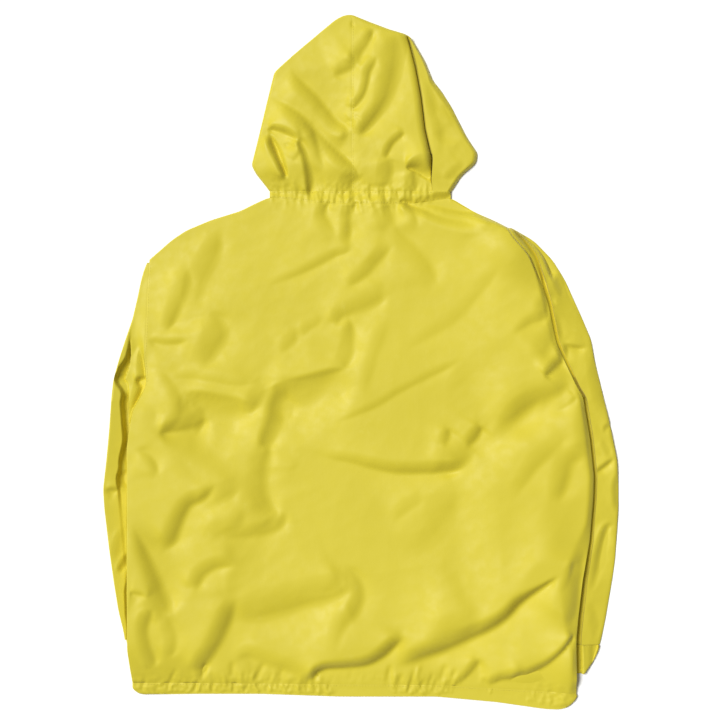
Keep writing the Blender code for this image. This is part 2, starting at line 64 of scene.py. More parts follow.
def softLimit(value, limit, softness):
    # follows the value and bends over to stay below the limit: v - s log(1 + e^((v - l) / s))
    return value - softness * np.logaddexp(0.0, (value - limit) / softness)


def readLine(table, at, rounding=6.0):
    # straight runs between the table's places, averaged over a short reach so corners are round
    places, values = np.array(sorted(table), dtype=float).T
    fromEnd = np.minimum(at - places[0], places[-1] - at)
    reach = np.clip(fromEnd, 0.0, rounding)
    shifts = np.linspace(-1.0, 1.0, 7)
    return sum(np.interp(at + shift * reach, places, values) for shift in shifts) / 7


def quarterRound(distance, reach):
    # a quarter of an ellipse: 0 on the edge, 1 at the reach and beyond
    rest = 1.0 - np.clip(distance / reach, 0.0, 1.0)
    return np.sqrt(1.0 - rest * rest)


def softRound(distance, reach):
    # a wide soft roll: 0.3 of a quarter round and 0.7 of an even slope, t (1.2 - 0.2 t^5)
    share = np.clip(distance / reach, 0.0, 1.0)
    return 0.3 * quarterRound(distance, reach) + 0.7 * share * (1.2 - 0.2 * share ** 5)


def curveThrough(points, steps=5):
    # Catmull-Rom curve through the points, as a chain of short straight runs
    knots = np.array(points, dtype=float)
    padded = np.concatenate((2 * knots[:1] - knots[1:2], knots, 2 * knots[-1:] - knots[-2:-1]))
    t = np.linspace(0.0, 1.0, steps, endpoint=False)[:, None]
    spans = []
    for p0, p1, p2, p3 in zip(padded, padded[1:], padded[2:], padded[3:]):
        spans.append(0.5 * (2 * p1 + (p2 - p0) * t + (2 * p0 - 5 * p1 + 4 * p2 - p3) * t ** 2
                            + (3 * p1 - p0 - 3 * p2 + p3) * t ** 3))
    return np.concatenate(spans + [knots[-1:]])


def nearestOnChain(chain, x, y):
    # for each point: its distance from the chain, above 0 to the right of the chain's
    # direction and below 0 to its left; for each run of the chain, how far along the chain
    # its nearest place is, and how much the run counts there: e^(-excess distance / s), s
    # being a fifth of the distance and at most 3, so that no crease shows where a point is
    # as near to two runs. The first and the last run lie beyond the chain, below 0 and over 1
    beyond = 12.0
    first, last = chain[0] - chain[1], chain[-1] - chain[-2]
    chain = np.concatenate(((chain[0] + first / np.hypot(*first) * beyond)[None], chain,
                            (chain[-1] + last / np.hypot(*last) * beyond)[None]))
    runs = np.diff(chain, axis=0)
    lengths = np.hypot(runs[:, 0], runs[:, 1])
    starts = np.concatenate(([0.0], np.cumsum(lengths)))
    dx, dy = x - chain[:-1, 0, None], y - chain[:-1, 1, None]
    runX, runY, length = runs[:, 0, None], runs[:, 1, None], lengths[:, None]
    share = np.clip((dx * runX + dy * runY) / length ** 2, 0.0, 1.0)
    gap = np.hypot(dx - share * runX, dy - share * runY)
    closest, nearest = gap.argmin(axis=0), gap.min(axis=0)
    weight = np.exp((nearest - gap) / (np.minimum(0.2 * nearest, 3.0) + 0.02))
    weight = weight / weight.sum(axis=0)
    distance = (weight * gap).sum(axis=0)
    along = (starts[:-1, None] + share * length - beyond) / (starts[-1] - 2.0 * beyond)
    turn = np.take_along_axis(dx * runY - dy * runX, closest[None], axis=0)[0]
    return np.where(turn < 0, -distance, distance), along, weight


def foldHeights(rows, x, y):
    # sum over the folds. Each falls over a band from a crest to the right of its line to a
    # foot on its left; with d the distance to the right, b the band's half width and
    # E(t) = exp(-max(t, 0)^1.3), its height is
    # crest E((d - b) / crestReach) R(d / b) - foot E((-d - b) / footReach) (1 - R(d / b)),
    # R being the ramp; it grows and fades over its own shares of its length, and both
    # reaches taper to its ends
    total = np.zeros(np.broadcast(x, y).shape)
    x, y = np.broadcast_to(x, total.shape), np.broadcast_to(y, total.shape)
    for path, startBand, endBand, lean, growing, fading, crest, crestReach, foot, footReach in rows:
        chain = curveThrough(path)
        reach = max(startBand, endBand) + 3.0 * max(crestReach, footReach)
        low, high = chain.min(axis=0) - reach, chain.max(axis=0) + reach
        near = (x > low[0]) & (x < high[0]) & (y > low[1]) & (y < high[1])
        if not near.any():
            continue
        aside, places, weight = nearestOnChain(chain, x[near], y[near])
        fades = smoothStep(places / growing) * smoothStep((1.0 - places) / fading)
        fade, along = (weight * fades).sum(axis=0), (weight * np.clip(places, 0.0, 1.0)).sum(axis=0)
        taper = 0.2 + 0.8 * smoothStep(2.2 * along) * smoothStep(2.2 * (1.0 - along))
        band = (startBand + (endBand - startBand) * along) * (0.5 + 0.5 * fade)
        rise = ramp(aside / band, lean)
        past = np.exp(-np.maximum((aside - band) / (taper * crestReach), 0.0) ** 1.3)
        before = np.exp(-np.maximum((-aside - band) / (taper * footReach), 0.0) ** 1.3)
        total[near] += fade * (crest * rise * past - foot * (1.0 - rise) * before)
    return total


def puckerHeights(rows, x, y):
    # one short ridge or groove for each row, along a leaning line from its upper point to
    # its lower one: height * exp(-(d / w)^2 - 3 |s|^4), s running from -1 to 1 between them
    total = 0.0
    for (topX, topY), (lowX, lowY), halfWidth, height in rows:
        runX, runY = (lowX - topX) / 2, (lowY - topY) / 2
        half = np.hypot(runX, runY)
        dx, dy = x - topX - runX, y - topY - runY
        along = (dx * runX + dy * runY) / half ** 2
        aside = (dx * runY - dy * runX) / half / halfWidth
        total = total + height * np.exp(-aside ** 2 - 3.0 * along ** 4)
    return total


def moundHeights(rows, x, y):
    # sum over soft mounds and hollows of height * exp(-r^2), r the distance in half axes,
    # turned by the angle in degrees
    total = 0.0
    for middleX, middleY, halfLong, halfShort, angle, height in rows:
        turn = np.radians(angle)
        dx, dy = x - middleX, y - middleY
        first = (dx * np.cos(turn) + dy * np.sin(turn)) / halfLong
        second = (dy * np.cos(turn) - dx * np.sin(turn)) / halfShort
        total = total + height * np.exp(-(first ** 2 + second ** 2))
    return total


def crumple(x, y, seed, longest, shortest, count, lie=0.0, spread=90.0):
    # small facets of soft cloth: a sum of plane waves, each folded over to 0.6 - |wave| so
    # that its crests are creased and its troughs are soft; the creases run along the lie,
    # in degrees from the x axis, to within the spread
    chance = np.random.default_rng(seed)
    total = 0.0
    for wave in np.geomspace(longest, shortest, count):
        angle = np.radians(lie + 90.0 + chance.uniform(-spread, spread))
        phase, bend = chance.uniform(0.0, 6.28, 2)
        across = x * np.cos(angle) + y * np.sin(angle)
        along = y * np.cos(angle) - x * np.sin(angle)
        wander = 0.35 * wave * np.sin(along / (0.85 * wave) + bend)
        swell = 0.5 + 0.5 * np.sin(along / (2.6 * wave) + across / (3.9 * wave) + phase)
        crests = 0.6 - np.abs(np.sin((across + wander) / wave * np.pi + phase))
        total = total + wave / longest * swell * crests
    return total


def spreadShares(count, length, rolledStart=True, rolledEnd=True):
    # even shares from 0 to 1, with a few closer ones where an edge is rolled
    close = np.array((0.0, 0.7, 1.7, 3.1, 4.9, 7.0)) / length
    first = close if rolledStart else close[:1]
    last = 1.0 - (close if rolledEnd else close[:1])[::-1]
    return np.concatenate((first, np.linspace(first[-1], last[0], count)[1:-1], last))


def arcLengths(grid, axis):
    # length of cloth from the grid's middle line, in metres, along one of its directions
    steps = np.linalg.norm(np.diff(grid, axis=axis), axis=2) * mm
    pad = [(0, 0), (0, 0)]
    pad[axis] = (1, 0)
    length = np.pad(np.cumsum(steps, axis=axis), pad)
    middle = np.take(length, [length.shape[axis] // 2], axis=axis)
    return length - middle


def gridFaces(index):
    quads = np.stack((index[:-1, :-1], index[1:, :-1], index[1:, 1:], index[:-1, 1:]), -1)
    return quads.reshape(-1, 4).tolist()


def rimFaces(outerEdge, innerEdge, step):
    # each face joins one run of the inner edge to the step runs of the outer edge beside it
    faces = []
    for k in range(len(innerEdge) - 1):
        beside = outerEdge[k * step:(k + 1) * step + 1]
        faces.append([*beside[::-1].tolist(), int(innerEdge[k]), int(innerEdge[k + 1])])
    return faces


def clothShell(name, outer, inner, step=1, looped=False):
    # one closed wall from the grids of its outer and inner face and rims along the open
    # sides; the inner grid has every step-th line of the outer one. The uv map is the
    # length of cloth both ways, so a weave follows every fold
    points = np.concatenate((outer.reshape(-1, 3), inner.reshape(-1, 3))) * mm
    over = np.arange(outer.shape[0] * outer.shape[1]).reshape(outer.shape[:2])
    under = np.arange(inner.shape[0] * inner.shape[1]).reshape(inner.shape[:2]) + over.size
    if looped:
        over, under = np.concatenate((over, over[:1])), np.concatenate((under, under[:1]))
    faces = gridFaces(over) + gridFaces(under[:, ::-1])
    faces += rimFaces(over[:, 0], under[:, 0], step) + rimFaces(over[::-1, -1], under[::-1, -1], step)
    if not looped:
        faces += rimFaces(over[-1, :], under[-1, :], step) + rimFaces(over[0, ::-1], under[0, ::-1], step)
    mesh = bpy.data.meshes.new(name)
    mesh.from_pydata(points.tolist(), [], faces)
    lengths = [np.stack((arcLengths(grid, 0), arcLengths(grid, 1)), -1) for grid in (outer, inner)]
    flat = np.concatenate([length.reshape(-1, 2) for length in lengths])
    corners = np.empty(len(mesh.loops), dtype=np.int32)
    mesh.loops.foreach_get("vertex_index", corners)
    grain = mesh.uv_layers.new(name="grain")
    grain.data.foreach_set("uv", flat[corners].astype(np.float32).ravel())
    shape = bmesh.new()
    shape.from_mesh(mesh)
    if shape.calc_volume(signed=True) < 0:
        bmesh.ops.reverse_faces(shape, faces=shape.faces)
    shape.to_mesh(mesh)
    shape.free()
    mesh.shade_smooth()
    mesh.set_sharp_from_angle(angle=np.radians(60))
    piece = bpy.data.objects.new(name, mesh)
    bpy.context.scene.collection.objects.link(piece)
    area = sum(face.area for face in mesh.polygons) / 2
    print(name, len(mesh.loops) - 2 * len(mesh.polygons), "triangles,", round(area, 4), "square metres")
    return piece


garment = {
    "wall": 1.1,            # shell cloth with its lining
    "layers": 6.4,          # height of a folded sleeve that lies flat beneath the body
    "pair": 9.9,            # height of back over front
    "bed": 6.8,             # height of the body where it lies on a sleeve
    "seamGap": 0.06,
    "edgeRoll": 2.4, "leftEdgeRoll": 1.5,
    "rightRoll": 8.0,       # wider along the edges that face up and to the right
    "fullness": 3.0,        # how much higher the open cloth of the back stands
    "deepest": -6.8,        # how deep a valley may go before it meets the front
    "highest": 31.0,        # the highest fold
    "hemSwelling": 1.9,     # how much higher the hem's puckers stand than read
    "hemFall": 8.0, "hemFallReach": 22.0,
    "leftUnderarm": -86, "rightUnderarm": -50,
    "neckLeft": -134, "neckRight": 130,
    "hoodBottom": 249,
}

# The plan in which lines and folds are read: millimetres to a pixel, and the pixel of
# x = 0, y = 0.
plan = {"pixel": 1.45, "middle": (361.5, 362.5)}


def planPlaces(points):
    # x = (px - 361.5) 1.45 and y = (362.5 - py) 1.45, in millimetres
    middleX, middleY = plan["middle"]
    return np.array([((x - middleX) * plan["pixel"], (middleY - y) * plan["pixel"]) for x, y in points])


def crossLine(read, placed=()):
    # rows of x and y in order of x: points read in the plan, to whole millimetres, and
    # points placed in millimetres
    return sorted([*[(x, y) for x, y in planPlaces(read).round().tolist()], *placed])


def sideLine(read, placed=()):
    # rows of y and x in order of y, of points read in the plan and rows placed in millimetres
    return sorted([*[(y, x) for x, y in planPlaces(read).round().tolist()], *placed])


leftSide = sideLine((
    (132, 683), (128, 650), (128, 445), (131, 422), (133, 411), (147, 385), (146, 372), (144, 357),
    (146, 326), (148, 290), (150, 259),
))
rightSide = sideLine((
    (578, 615), (582.5, 580), (589.5, 540), (593, 499), (593.6, 476), (590, 438), (583, 397),
    (577, 388), (563, 358), (556, 342), (547.6, 302), (541, 281), (508, 227),
), (
    (-481, 312), (-400, 311), (154, 244), (166, 234), (178, 222), (190, 214),
))
# How far each side is rolled under, and how wide the roll is.
leftRoll = ((-86, 1.0), (-40, 0.0))
rightRoll = ((-50, 1.0), (150, 1.0), (185, 0.3))
rightRollWidth = (
    (-481, 11.0), (-425, 9.0), (-394, 16.0), (-362, 28.0), (-330, 34.0), (-298, 33.0),
    (-269, 24.0), (-234, 10.0),
    (-110, 9.0), (-50, 7.0), (0, 8.0), (50, 9.0), (90, 9.0), (115, 7.0), (130, 4.0), (190, 3.5),
)
topLine = crossLine((
    (150, 259), (160, 250), (172, 240), (186, 230), (211, 220), (240, 211), (255, 203), (475, 212),
    (493, 220), (508, 227),
), (
    (-134, 240), (-89, 235), (-55, 231), (60, 230), (88, 233), (130, 239),
))
hemSeam = crossLine((
    (132, 683), (340, 685),
), (
    (114, -469), (312, -481),
))
hemEdge = crossLine((
    (195, 695), (260, 695), (340, 698), (436, 698), (497, 703), (570, 708),
), (
    (-333, -472), (-330, -479), (-321, -483), (266, -504), (288, -505), (310, -494), (313, -485),
))
leftSleeveEdge = sideLine((
    (123, 630), (118, 610), (113, 580), (109, 550), (109, 430), (111, 400), (113, 380), (119, 360),
    (125, 340), (132, 320), (137, 300), (141, 280),
), (
    (-402, -344), (-214, -373), (-185, -375), (-141, -370), (134, -316), (146, -311),
))
rightSleeveEdge = sideLine((
    (602, 640), (606, 620), (610, 600), (613, 580), (616, 560), (618, 530), (619.5, 505),
    (619.5, 485), (618, 460), (610, 420), (600, 380), (595, 360),
), (
    (-410, 347), (33, 334), (62, 322), (91, 309), (120, 296), (149, 278), (178, 250), (190, 228),
    (196, 217),
))


def underarmOf(side, underarm):
    # the point of a side at which its sleeve begins
    return next(row for row in side if row[0] == underarm)


leftSleeveInner = (
    (-402, -248), (-300, -222), (-205, -213), (-160, -245), (-120, -300), (-96, -331),
    underarmOf(leftSide, garment["leftUnderarm"]),
)
rightSleeveInner = (
    (-410, 254), (-300, 222), (-180, 214), (-130, 245), (-85, 300), (-60, 319),
    underarmOf(rightSide, garment["rightUnderarm"]),
)

# What a slope does to the tone: light from the sky and from the lamp, the lamp's run to its
# fall, the way it runs over the floor, levels from white to black and their gamma.
tone = {
    "sky": 0.14, "lamp": 0.86, "tilt": 0.577, "away": (0.883, -0.469), "levels": 216.0, "gamma": 2.2,
    "slopeStep": 0.01, "steepest": 1.15, "leastFacing": 0.1,
    "litLevels": 55.0,      # levels that a lit fold gains with a slope of 1
}
# How a drop follows from slope and width, and how far crest and foot reach at least.
fold = {
    "dropShare": 1.1, "highestDrop": 20.0, "crestReach": 9.0, "footReach": 6.0, "lean": -0.4,
    "widening": 1.7, "fade": 0.7, "leastFade": 0.1,
}


def shiftedLine(points, shift):
    # each point moved to the crest's side, square to the run between its two neighbours
    moved = []
    for i, (x, y) in enumerate(points):
        before, after = points[max(i - 1, 0)], points[min(i + 1, len(points) - 1)]
        runX, runY = after[0] - before[0], after[1] - before[1]
        length = np.hypot(runX, runY)
        moved.append((x - runY / length * shift, y + runX / length * shift))
    return moved


def foldSlope(shade, facing):
    # the least slope s, in steps and up to the steepest, whose shade reaches the one asked:
    # levels (1 - B^(1 / gamma)), B = sky + lamp (1 - tilt facing s) / sqrt(1 + s^2);
    # a shade below 0 is a lit fold, of slope -shade / litLevels
    if shade < 0:
        return -shade / tone["litLevels"]
    slope = 0.0
    while slope < tone["steepest"]:
        lamp = tone["lamp"] * (1.0 - tone["tilt"] * facing * slope) / np.sqrt(1.0 + slope * slope)
        if tone["levels"] * (1.0 - (tone["sky"] + lamp) ** (1.0 / tone["gamma"])) >= shade:
            break
        slope += tone["slopeStep"]
    return slope


def foldRow(line, startWidth, endWidth, shade, shift, lean, growing, fading,
            crest, crestReach, foot, footReach):
    # a row for foldHeights from a reading. The drop is dropShare slope width, shared out as
    # crest to foot; a shade of 0 leaves crest and foot as the heights they are
    places = planPlaces(shiftedLine(line, shift))
    if shade:
        runX, runY = np.diff(places, axis=0).T
        awayX, awayY = tone["away"]
        facing = np.mean((runX * awayY - runY * awayX) / np.hypot(runX, runY))
        width = (startWidth + endWidth) / 2 * plan["pixel"]
        slope = foldSlope(shade, max(facing, tone["leastFacing"]))
        drop = min(fold["dropShare"] * slope * width, fold["highestDrop"])
        share = crest / (crest + foot)
        crest, foot = drop * share, drop * (1.0 - share)
        crestReach = max(crestReach, crest * fold["crestReach"])
        footReach = max(footReach, foot * fold["footReach"])
        lean = lean or fold["lean"]
    bands = [round(width * plan["pixel"] * 2) / 2 for width in (startWidth, endWidth)]
    return (places.round(), *bands, lean, growing, fading,
            round(crest, 1), round(crestReach), round(foot, 1), round(footReach))


def plainFold(line, startBand, endBand, crest, crestReach, foot, footReach, strongest):
    # a row for foldHeights from a plain one in millimetres: both bands widened, and growing
    # and fading over fade p and fade (1 - p), p being where along its line it is strongest
    growing = max(fold["leastFade"], round(strongest * fold["fade"], 2))
    fading = max(fold["leastFade"], round((1.0 - strongest) * fold["fade"], 2))
    bands = [round(band * fold["widening"], 1) for band in (startBand, endBand)]
    return line, *bands, 0, growing, fading, crest, crestReach, foot, footReach


def puckerRow(topX, topY, lowX, lowY, halfWidth, height, swelling):
    # a row for puckerHeights: both ends from the plan, the height times the swelling
    top, low = planPlaces(((topX, topY), (lowX, lowY))).round()
    return top, low, halfWidth, round(height * swelling, 1)


# Folds of the body as read in the plan: points of the line, width of its shade at the start
# and the end, shade in levels, shift to the crest's side, lean to the foot (-1) or the crest
# (1), 0 for the usual one, shares of the length over which it grows and fades, crest and
# its least reach, foot and its least reach.
bodyReadings = (
    (((562, 567), (545, 577), (530, 588), (515, 600), (503, 613), (488, 623), (470, 632), (452, 640),
     (430, 648), (412, 655), (388, 667)), 7, 14, 76, -1, -0.3, 0.1, 0.25, 6, 60, 6, 16),
    (((484, 612), (464, 620), (442, 626), (422, 632)), 16, 16, 16, 0, 0, 0.4, 0.4, 2, 30, 1.6, 12),
    (((404, 632), (392, 641), (379, 653), (365, 660), (345, 663), (325, 665), (314, 671), (307, 683)),
     10, 6, 78, -1, 0, 0.15, 0.12, 5, 45, 4.5, 11),
    (((575, 635), (562, 650), (549, 663), (535, 671), (520, 679), (508, 686)), 3, 8, 84, 3, 0, 0.05,
     0.15, 3, 26, 3.5, 14),
    (((524, 667), (508, 674), (496, 678), (487, 685)), 9, 7, 44, -2, 0, 0.25, 0.12, 1.8, 18, 1.8, 9),
    (((477, 657), (469, 671), (457, 683), (449, 691)), 7, 6, 54, -1, 0, 0.15, 0.2, 2.2, 22, 2.4, 10),
    (((570, 372), (548, 384), (524, 395), (505, 410), (488, 426)), 17, 22, 26, -6, -0.2, 0.2, 0.35, 4,
     60, 3.4, 24),
    (((538, 388), (516, 407), (503, 424), (492, 444)), 12, 12, 6, -3, 0, 0.3, 0.3, 1.8, 14, 1.8, 12),
    (((479, 424), (472, 435), (463, 444)), 7, 10, 38, -1, 0, 0.15, 0.25, 2.2, 14, 2.6, 11),
    (((447, 426), (443, 436), (440, 446)), 6, 9, 22, -1, 0, 0.3, 0.3, 1.2, 12, 1.4, 9),
    (((566, 351), (555, 361), (541, 375)), 8, 6, 60, -1, 0, 0.1, 0.15, 3, 22, 4, 14),
    (((574, 395), (564, 403), (550, 412)), 6, 6, 24, 0, 0, 0.1, 0.5, 1.2, 12, 1.2, 10),
    (((566, 428), (547, 445), (530, 462), (517, 482), (506, 502)), 11, 11, 14, -2, 0, 0.2, 0.5, 2.6, 36,
     1.8, 26),
    (((580, 446), (563, 456), (556, 474), (549, 502)), 13, 12, 17, -4, 0, 0.2, 0.3, 1.8, 22, 1.6, 22),
    (((458, 484), (440, 508), (424, 530), (398, 552)), 20, 20, 5, 0, 0, 0.3, 0.3, 1.6, 40, 1.6, 36),
    (((422, 491), (402, 504), (388, 519)), 9, 8, 6, -3, 0, 0.3, 0.3, 0.7, 20, 0.6, 12),
    (((549, 312), (536, 317), (524, 322), (508, 335)), 6, 7, 20, -1, 0, 0.1, 0.5, 2, 26, 1.6, 12),
    (((545, 292), (541, 300), (533, 316)), 10, 10, 22, -3, 0, 0.2, 0.4, 1.5, 16, 1.5, 14),
    (((552, 326), (541, 346), (536, 362)), 12, 12, 12, 0, 0, 0.3, 0.3, 1.6, 30, 1.6, 14),
    (((462, 357), (440, 368), (418, 378), (396, 390), (376, 402), (350, 414), (326, 425)), 5, 5, 12, -1,
     0, 0.15, 0.3, 1.6, 40, 1.1, 12),
    (((500, 262), (480, 285), (455, 315), (428, 333), (402, 350)), 8, 8, 7, 0, 0, 0.2, 0.3, 0.9, 40,
     0.7, 18),
    (((520, 336), (490, 352), (462, 374), (446, 396)), 12, 12, 3, 0, 0, 0.3, 0.3, 0.8, 30, 0.6, 30),
    (((466, 466), (440, 467), (415, 468), (395, 467), (375, 464), (350, 458), (332, 455), (316, 450),
     (296, 445)), 8, 10, 22, 0, 0, 0.1, 0.6, 2.8, 34, 2.2, 12),
    (((468, 442), (456, 452), (440, 456), (428, 462)), 14, 14, 12, -5, 0, 0.3, 0.3, 1.4, 20, 1.2, 12),
    (((296, 450), (306, 434), (322, 412), (340, 388), (356, 360), (366, 335), (382, 304)), 20, 18, -6,
     0, 0, 0.3, 0.3, 4.4, 60, 1, 14),
    (((388, 318), (375, 345), (367, 370), (362, 398)), 9, 9, -6, 0, 0, 0.3, 0.3, 1.3, 14, 1.3, 26),
    (((346, 314), (348, 332), (347, 350), (340, 366)), 7, 11, 16, 0, 0, 0.3, 0.1, 2.2, 30, 2.4, 8),
    (((352, 362), (330, 371), (303, 376), (278, 378), (250, 380)), 4, 5, 9, 0, 0, 0.12, 0.4, 2.2, 26,
     2.8, 20),
    (((262, 380), (240, 382), (212, 378), (190, 374), (170, 377)), 6, 7, 9, 0, 0, 0.3, 0.3, 0.7, 16,
     0.5, 12),
    (((263, 380), (257, 392), (250, 404), (246, 414)), 12, 8, 17, -1, 0, 0.2, 0.15, 1.2, 14, 1.8, 9),
    (((281, 386), (277, 405), (274, 420), (268, 436), (264, 450)), 13, 10, 26, 1, 0.3, 0.2, 0.12, 2.4,
     26, 3.2, 10),
    (((290, 398), (291, 410), (288, 420)), 5, 5, 8, 1, 0, 0.3, 0.3, 0.8, 8, 0.8, 8),
    (((264, 440), (258, 465), (257, 486), (262, 505), (274, 522)), 14, 12, 13, 0, 0, 0.2, 0.1, 3.4, 70,
     3, 9),
    (((286, 512), (276, 527), (256, 533), (236, 535), (212, 541)), 9, 9, 11, 3, 0, 0.1, 0.5, 1.6, 22,
     1.4, 16),
    (((262, 462), (276, 460), (300, 458)), 9, 9, -6, 0, 0, 0.3, 0.3, 1.2, 14, 1, 14),
    (((262, 412), (240, 408), (214, 403), (177, 396)), 14, 14, 14, 0, 0.6, 0.3, 0.3, 1.8, 16, 3.2, 40),
    (((207, 415), (192, 423), (177, 427), (160, 431)), 12, 7, 30, 1, 0, 0.15, 0.12, 2.4, 22, 3, 12),
    (((204, 418), (201, 426), (196, 436)), 5, 5, 12, 2, 0, 0.3, 0.3, 1, 8, 1.4, 8),
    (((149, 367), (163, 377), (173, 392), (178, 405), (175, 417), (162, 428), (150, 426)), 7, 8, 9, 0,
     0, 0.2, 0.2, 2.6, 30, 1.4, 16),
    (((354, 246), (335, 250), (318, 259), (300, 268), (278, 278), (262, 285)), 6, 6, 15, -2, 0, 0.12,
     0.5, 1.3, 24, 1.4, 9),
    (((393, 241), (378, 256), (364, 272), (344, 286)), 9, 8, 18, 1, 0, 0.3, 0.15, 3.2, 34, 2.2, 16),
    (((386, 288), (366, 299), (348, 307), (338, 313), (332, 324)), 14, 8, 14, -1, 0, 0.2, 0.1, 2.4, 30,
     2.2, 14),
    (((324, 317), (308, 326), (298, 338)), 6, 6, 8, 0, 0, 0.3, 0.3, 0.8, 12, 0.7, 8),
    (((294, 326), (292, 338), (278, 352)), 8, 8, 10, 1, 0, 0.3, 0.3, 1, 16, 1, 12),
    (((328, 198), (320, 212), (324, 224), (336, 242)), 6, 11, 18, 0, 0, 0.1, 0.4, 1.6, 14, 1.8, 9),
    (((356, 199), (347, 210), (345, 226), (345, 246)), 6, 9, 25, 0, 0, 0.08, 0.3, 1.8, 18, 2.8, 12),
    (((386, 196), (385, 212), (390, 230)), 9, 14, 20, 0, 0, 0.1, 0.35, 1.6, 18, 1.8, 12),
    (((352, 262), (364, 240), (366, 212)), 14, 12, -6, 0, 0, 0.3, 0.3, 1.4, 16, 1, 12),
    (((388, 226), (398, 242), (412, 256), (424, 272), (432, 290)), 12, 12, 8, -2, 0, 0.3, 0.3, 2, 30,
     2.4, 24),
    (((399, 203), (406, 216), (412, 232)), 5, 7, 16, -5, 0, 0.1, 0.4, 1, 8, 1, 7),
    (((398, 203), (416, 211), (440, 221), (460, 226), (486, 231)), 5, 9, 27, 0, 0, 0.05, 0.3, 1.2, 26,
     3.6, 11),
    (((412, 205), (440, 210), (468, 216), (492, 222)), 6, 6, 14, 0, 0, 0.2, 0.1, 1.6, 8, 2.2, 26),
    (((428, 200), (450, 205), (474, 212), (500, 222)), 14, 12, 22, 0, 0, 0.2, 0.1, 0.5, 10, 4, 26),
    (((214, 228), (213, 244), (206, 262), (197, 280), (193, 300), (196, 316)), 12, 14, 11, 0, 0, 0.2,
     0.3, 2.4, 24, 2, 24),
    (((182, 262), (184, 280), (180, 298), (173, 316), (166, 332)), 12, 8, 16, 2, 0, 0.25, 0.2, 2.2, 20,
     1.6, 14),
    (((208, 312), (219, 332), (210, 350), (199, 368)), 14, 14, 14, 3, 0, 0.25, 0.25, 2.8, 26, 2.4, 16),
    (((162, 337), (184, 330), (209, 320)), 8, 9, -8, 0, 0, 0.3, 0.3, 1.8, 22, 1.4, 10),
    (((190, 341), (168, 343), (148, 340)), 5, 5, 14, 2, 0, 0.3, 0.2, 0.6, 10, 1.4, 5),
    (((216, 480), (202, 492), (188, 500), (179, 512), (173, 526), (168, 538), (158, 546)), 8, 12, 34,
     -1, 0, 0.25, 0.2, 2.8, 34, 3, 15),
    (((240, 482), (225, 490), (213, 497), (198, 508)), 12, 12, 11, 0, 0, 0.3, 0.3, 1.2, 12, 1.4, 10),
    (((240, 503), (232, 518), (215, 526), (205, 538)), 10, 12, 10, -3, 0, 0.3, 0.3, 1.8, 24, 1.2, 18),
    (((136, 450), (150, 460), (158, 476)), 7, 7, 12, 0, 0, 0.3, 0.3, 0.7, 12, 0.6, 10),
    (((238, 562), (220, 560), (207, 565), (198, 573), (191, 588)), 8, 10, 22, -1, 0, 0.3, 0.15, 1.6, 20,
     1.8, 9),
    (((133, 522), (143, 550), (152, 574), (160, 598), (168, 616)), 8, 16, 24, 2, 0, 0.35, 0.1, 1.8, 12,
     4.2, 22),
    (((149, 606), (143, 628), (146, 648), (153, 668)), 8, 8, 20, 0, 0, 0.12, 0.12, 1.4, 9, 2.4, 14),
    (((166, 612), (174, 636), (170, 658)), 8, 8, 10, 3, 0, 0.3, 0.2, 0.7, 10, 0.8, 8),
    (((150, 596), (144, 590), (132, 588)), 5, 5, 18, -1, 0, 0.3, 0.1, 0.8, 6, 0.8, 6),
    (((232, 592), (224, 613), (216, 631), (208, 646), (200, 658), (191, 671)), 12, 10, 34, -2, 0, 0.3,
     0.12, 4.4, 36, 5, 12),
    (((350, 580), (322, 588), (298, 594), (276, 600), (252, 606), (226, 612)), 16, 20, 15, -2, -0.5,
     0.12, 0.3, 3, 36, 3, 12),
    (((341, 567), (352, 580), (356, 595), (351, 609), (340, 622), (334, 638), (332, 656)), 10, 13, 14,
     0, 0, 0.2, 0.5, 2.4, 24, 2.2, 13),
    (((308, 668), (286, 660), (262, 651), (246, 648), (230, 656)), 10, 10, 9, -4, 0, 0.3, 0.3, 1, 18,
     2.2, 26),
    (((354, 376), (330, 383), (303, 391), (278, 397), (258, 400)), 17, 16, 17, 0, 0.85, 0.2, 0.25, 2,
     20, 3, 14),
    (((574, 384), (580, 408), (584, 436), (588, 470)), 14, 10, 22, 0, -0.2, 0.25, 0.35, 2, 24, 2, 8),
    (((571, 558), (568, 570), (562, 583), (557, 592)), 4, 4, 50, 0, -0.4, 0.2, 0.2, 2, 10, 2, 8),
    (((582, 545), (574, 575), (572, 600), (566, 628)), 9, 9, 46, 0, -0.4, 0.25, 0.25, 3, 20, 2, 10),
    (((585, 562), (579, 585), (579, 605), (576, 628)), 5, 5, 50, 0, -0.4, 0.25, 0.25, 3, 12, 2, 8),
)
bodyFolds = [foldRow(*reading) for reading in bodyReadings]
# Soft mounds and hollows: middle x and y, half axes, angle of the long one, height.
bodyMounds = (
    (225, 60, 150, 60, 100, 5.0),
    (212, 165, 50, 34, -40, 12.0),
    (272, -310, 85, 32, 95, 9.0),
    (300, -445, 50, 24, 95, 9.0),
    (-318, -20, 45, 14, 75, -3.0),
    (190, -395, 100, 34, 25, 3.0),
    (-60, -405, 80, 34, 10, 2.4),
    (-345, -330, 170, 55, 90, 7.0),
    (-320, -130, 190, 140, 90, 6.0),
    (-215, 60, 90, 130, 0, 2.0),
)
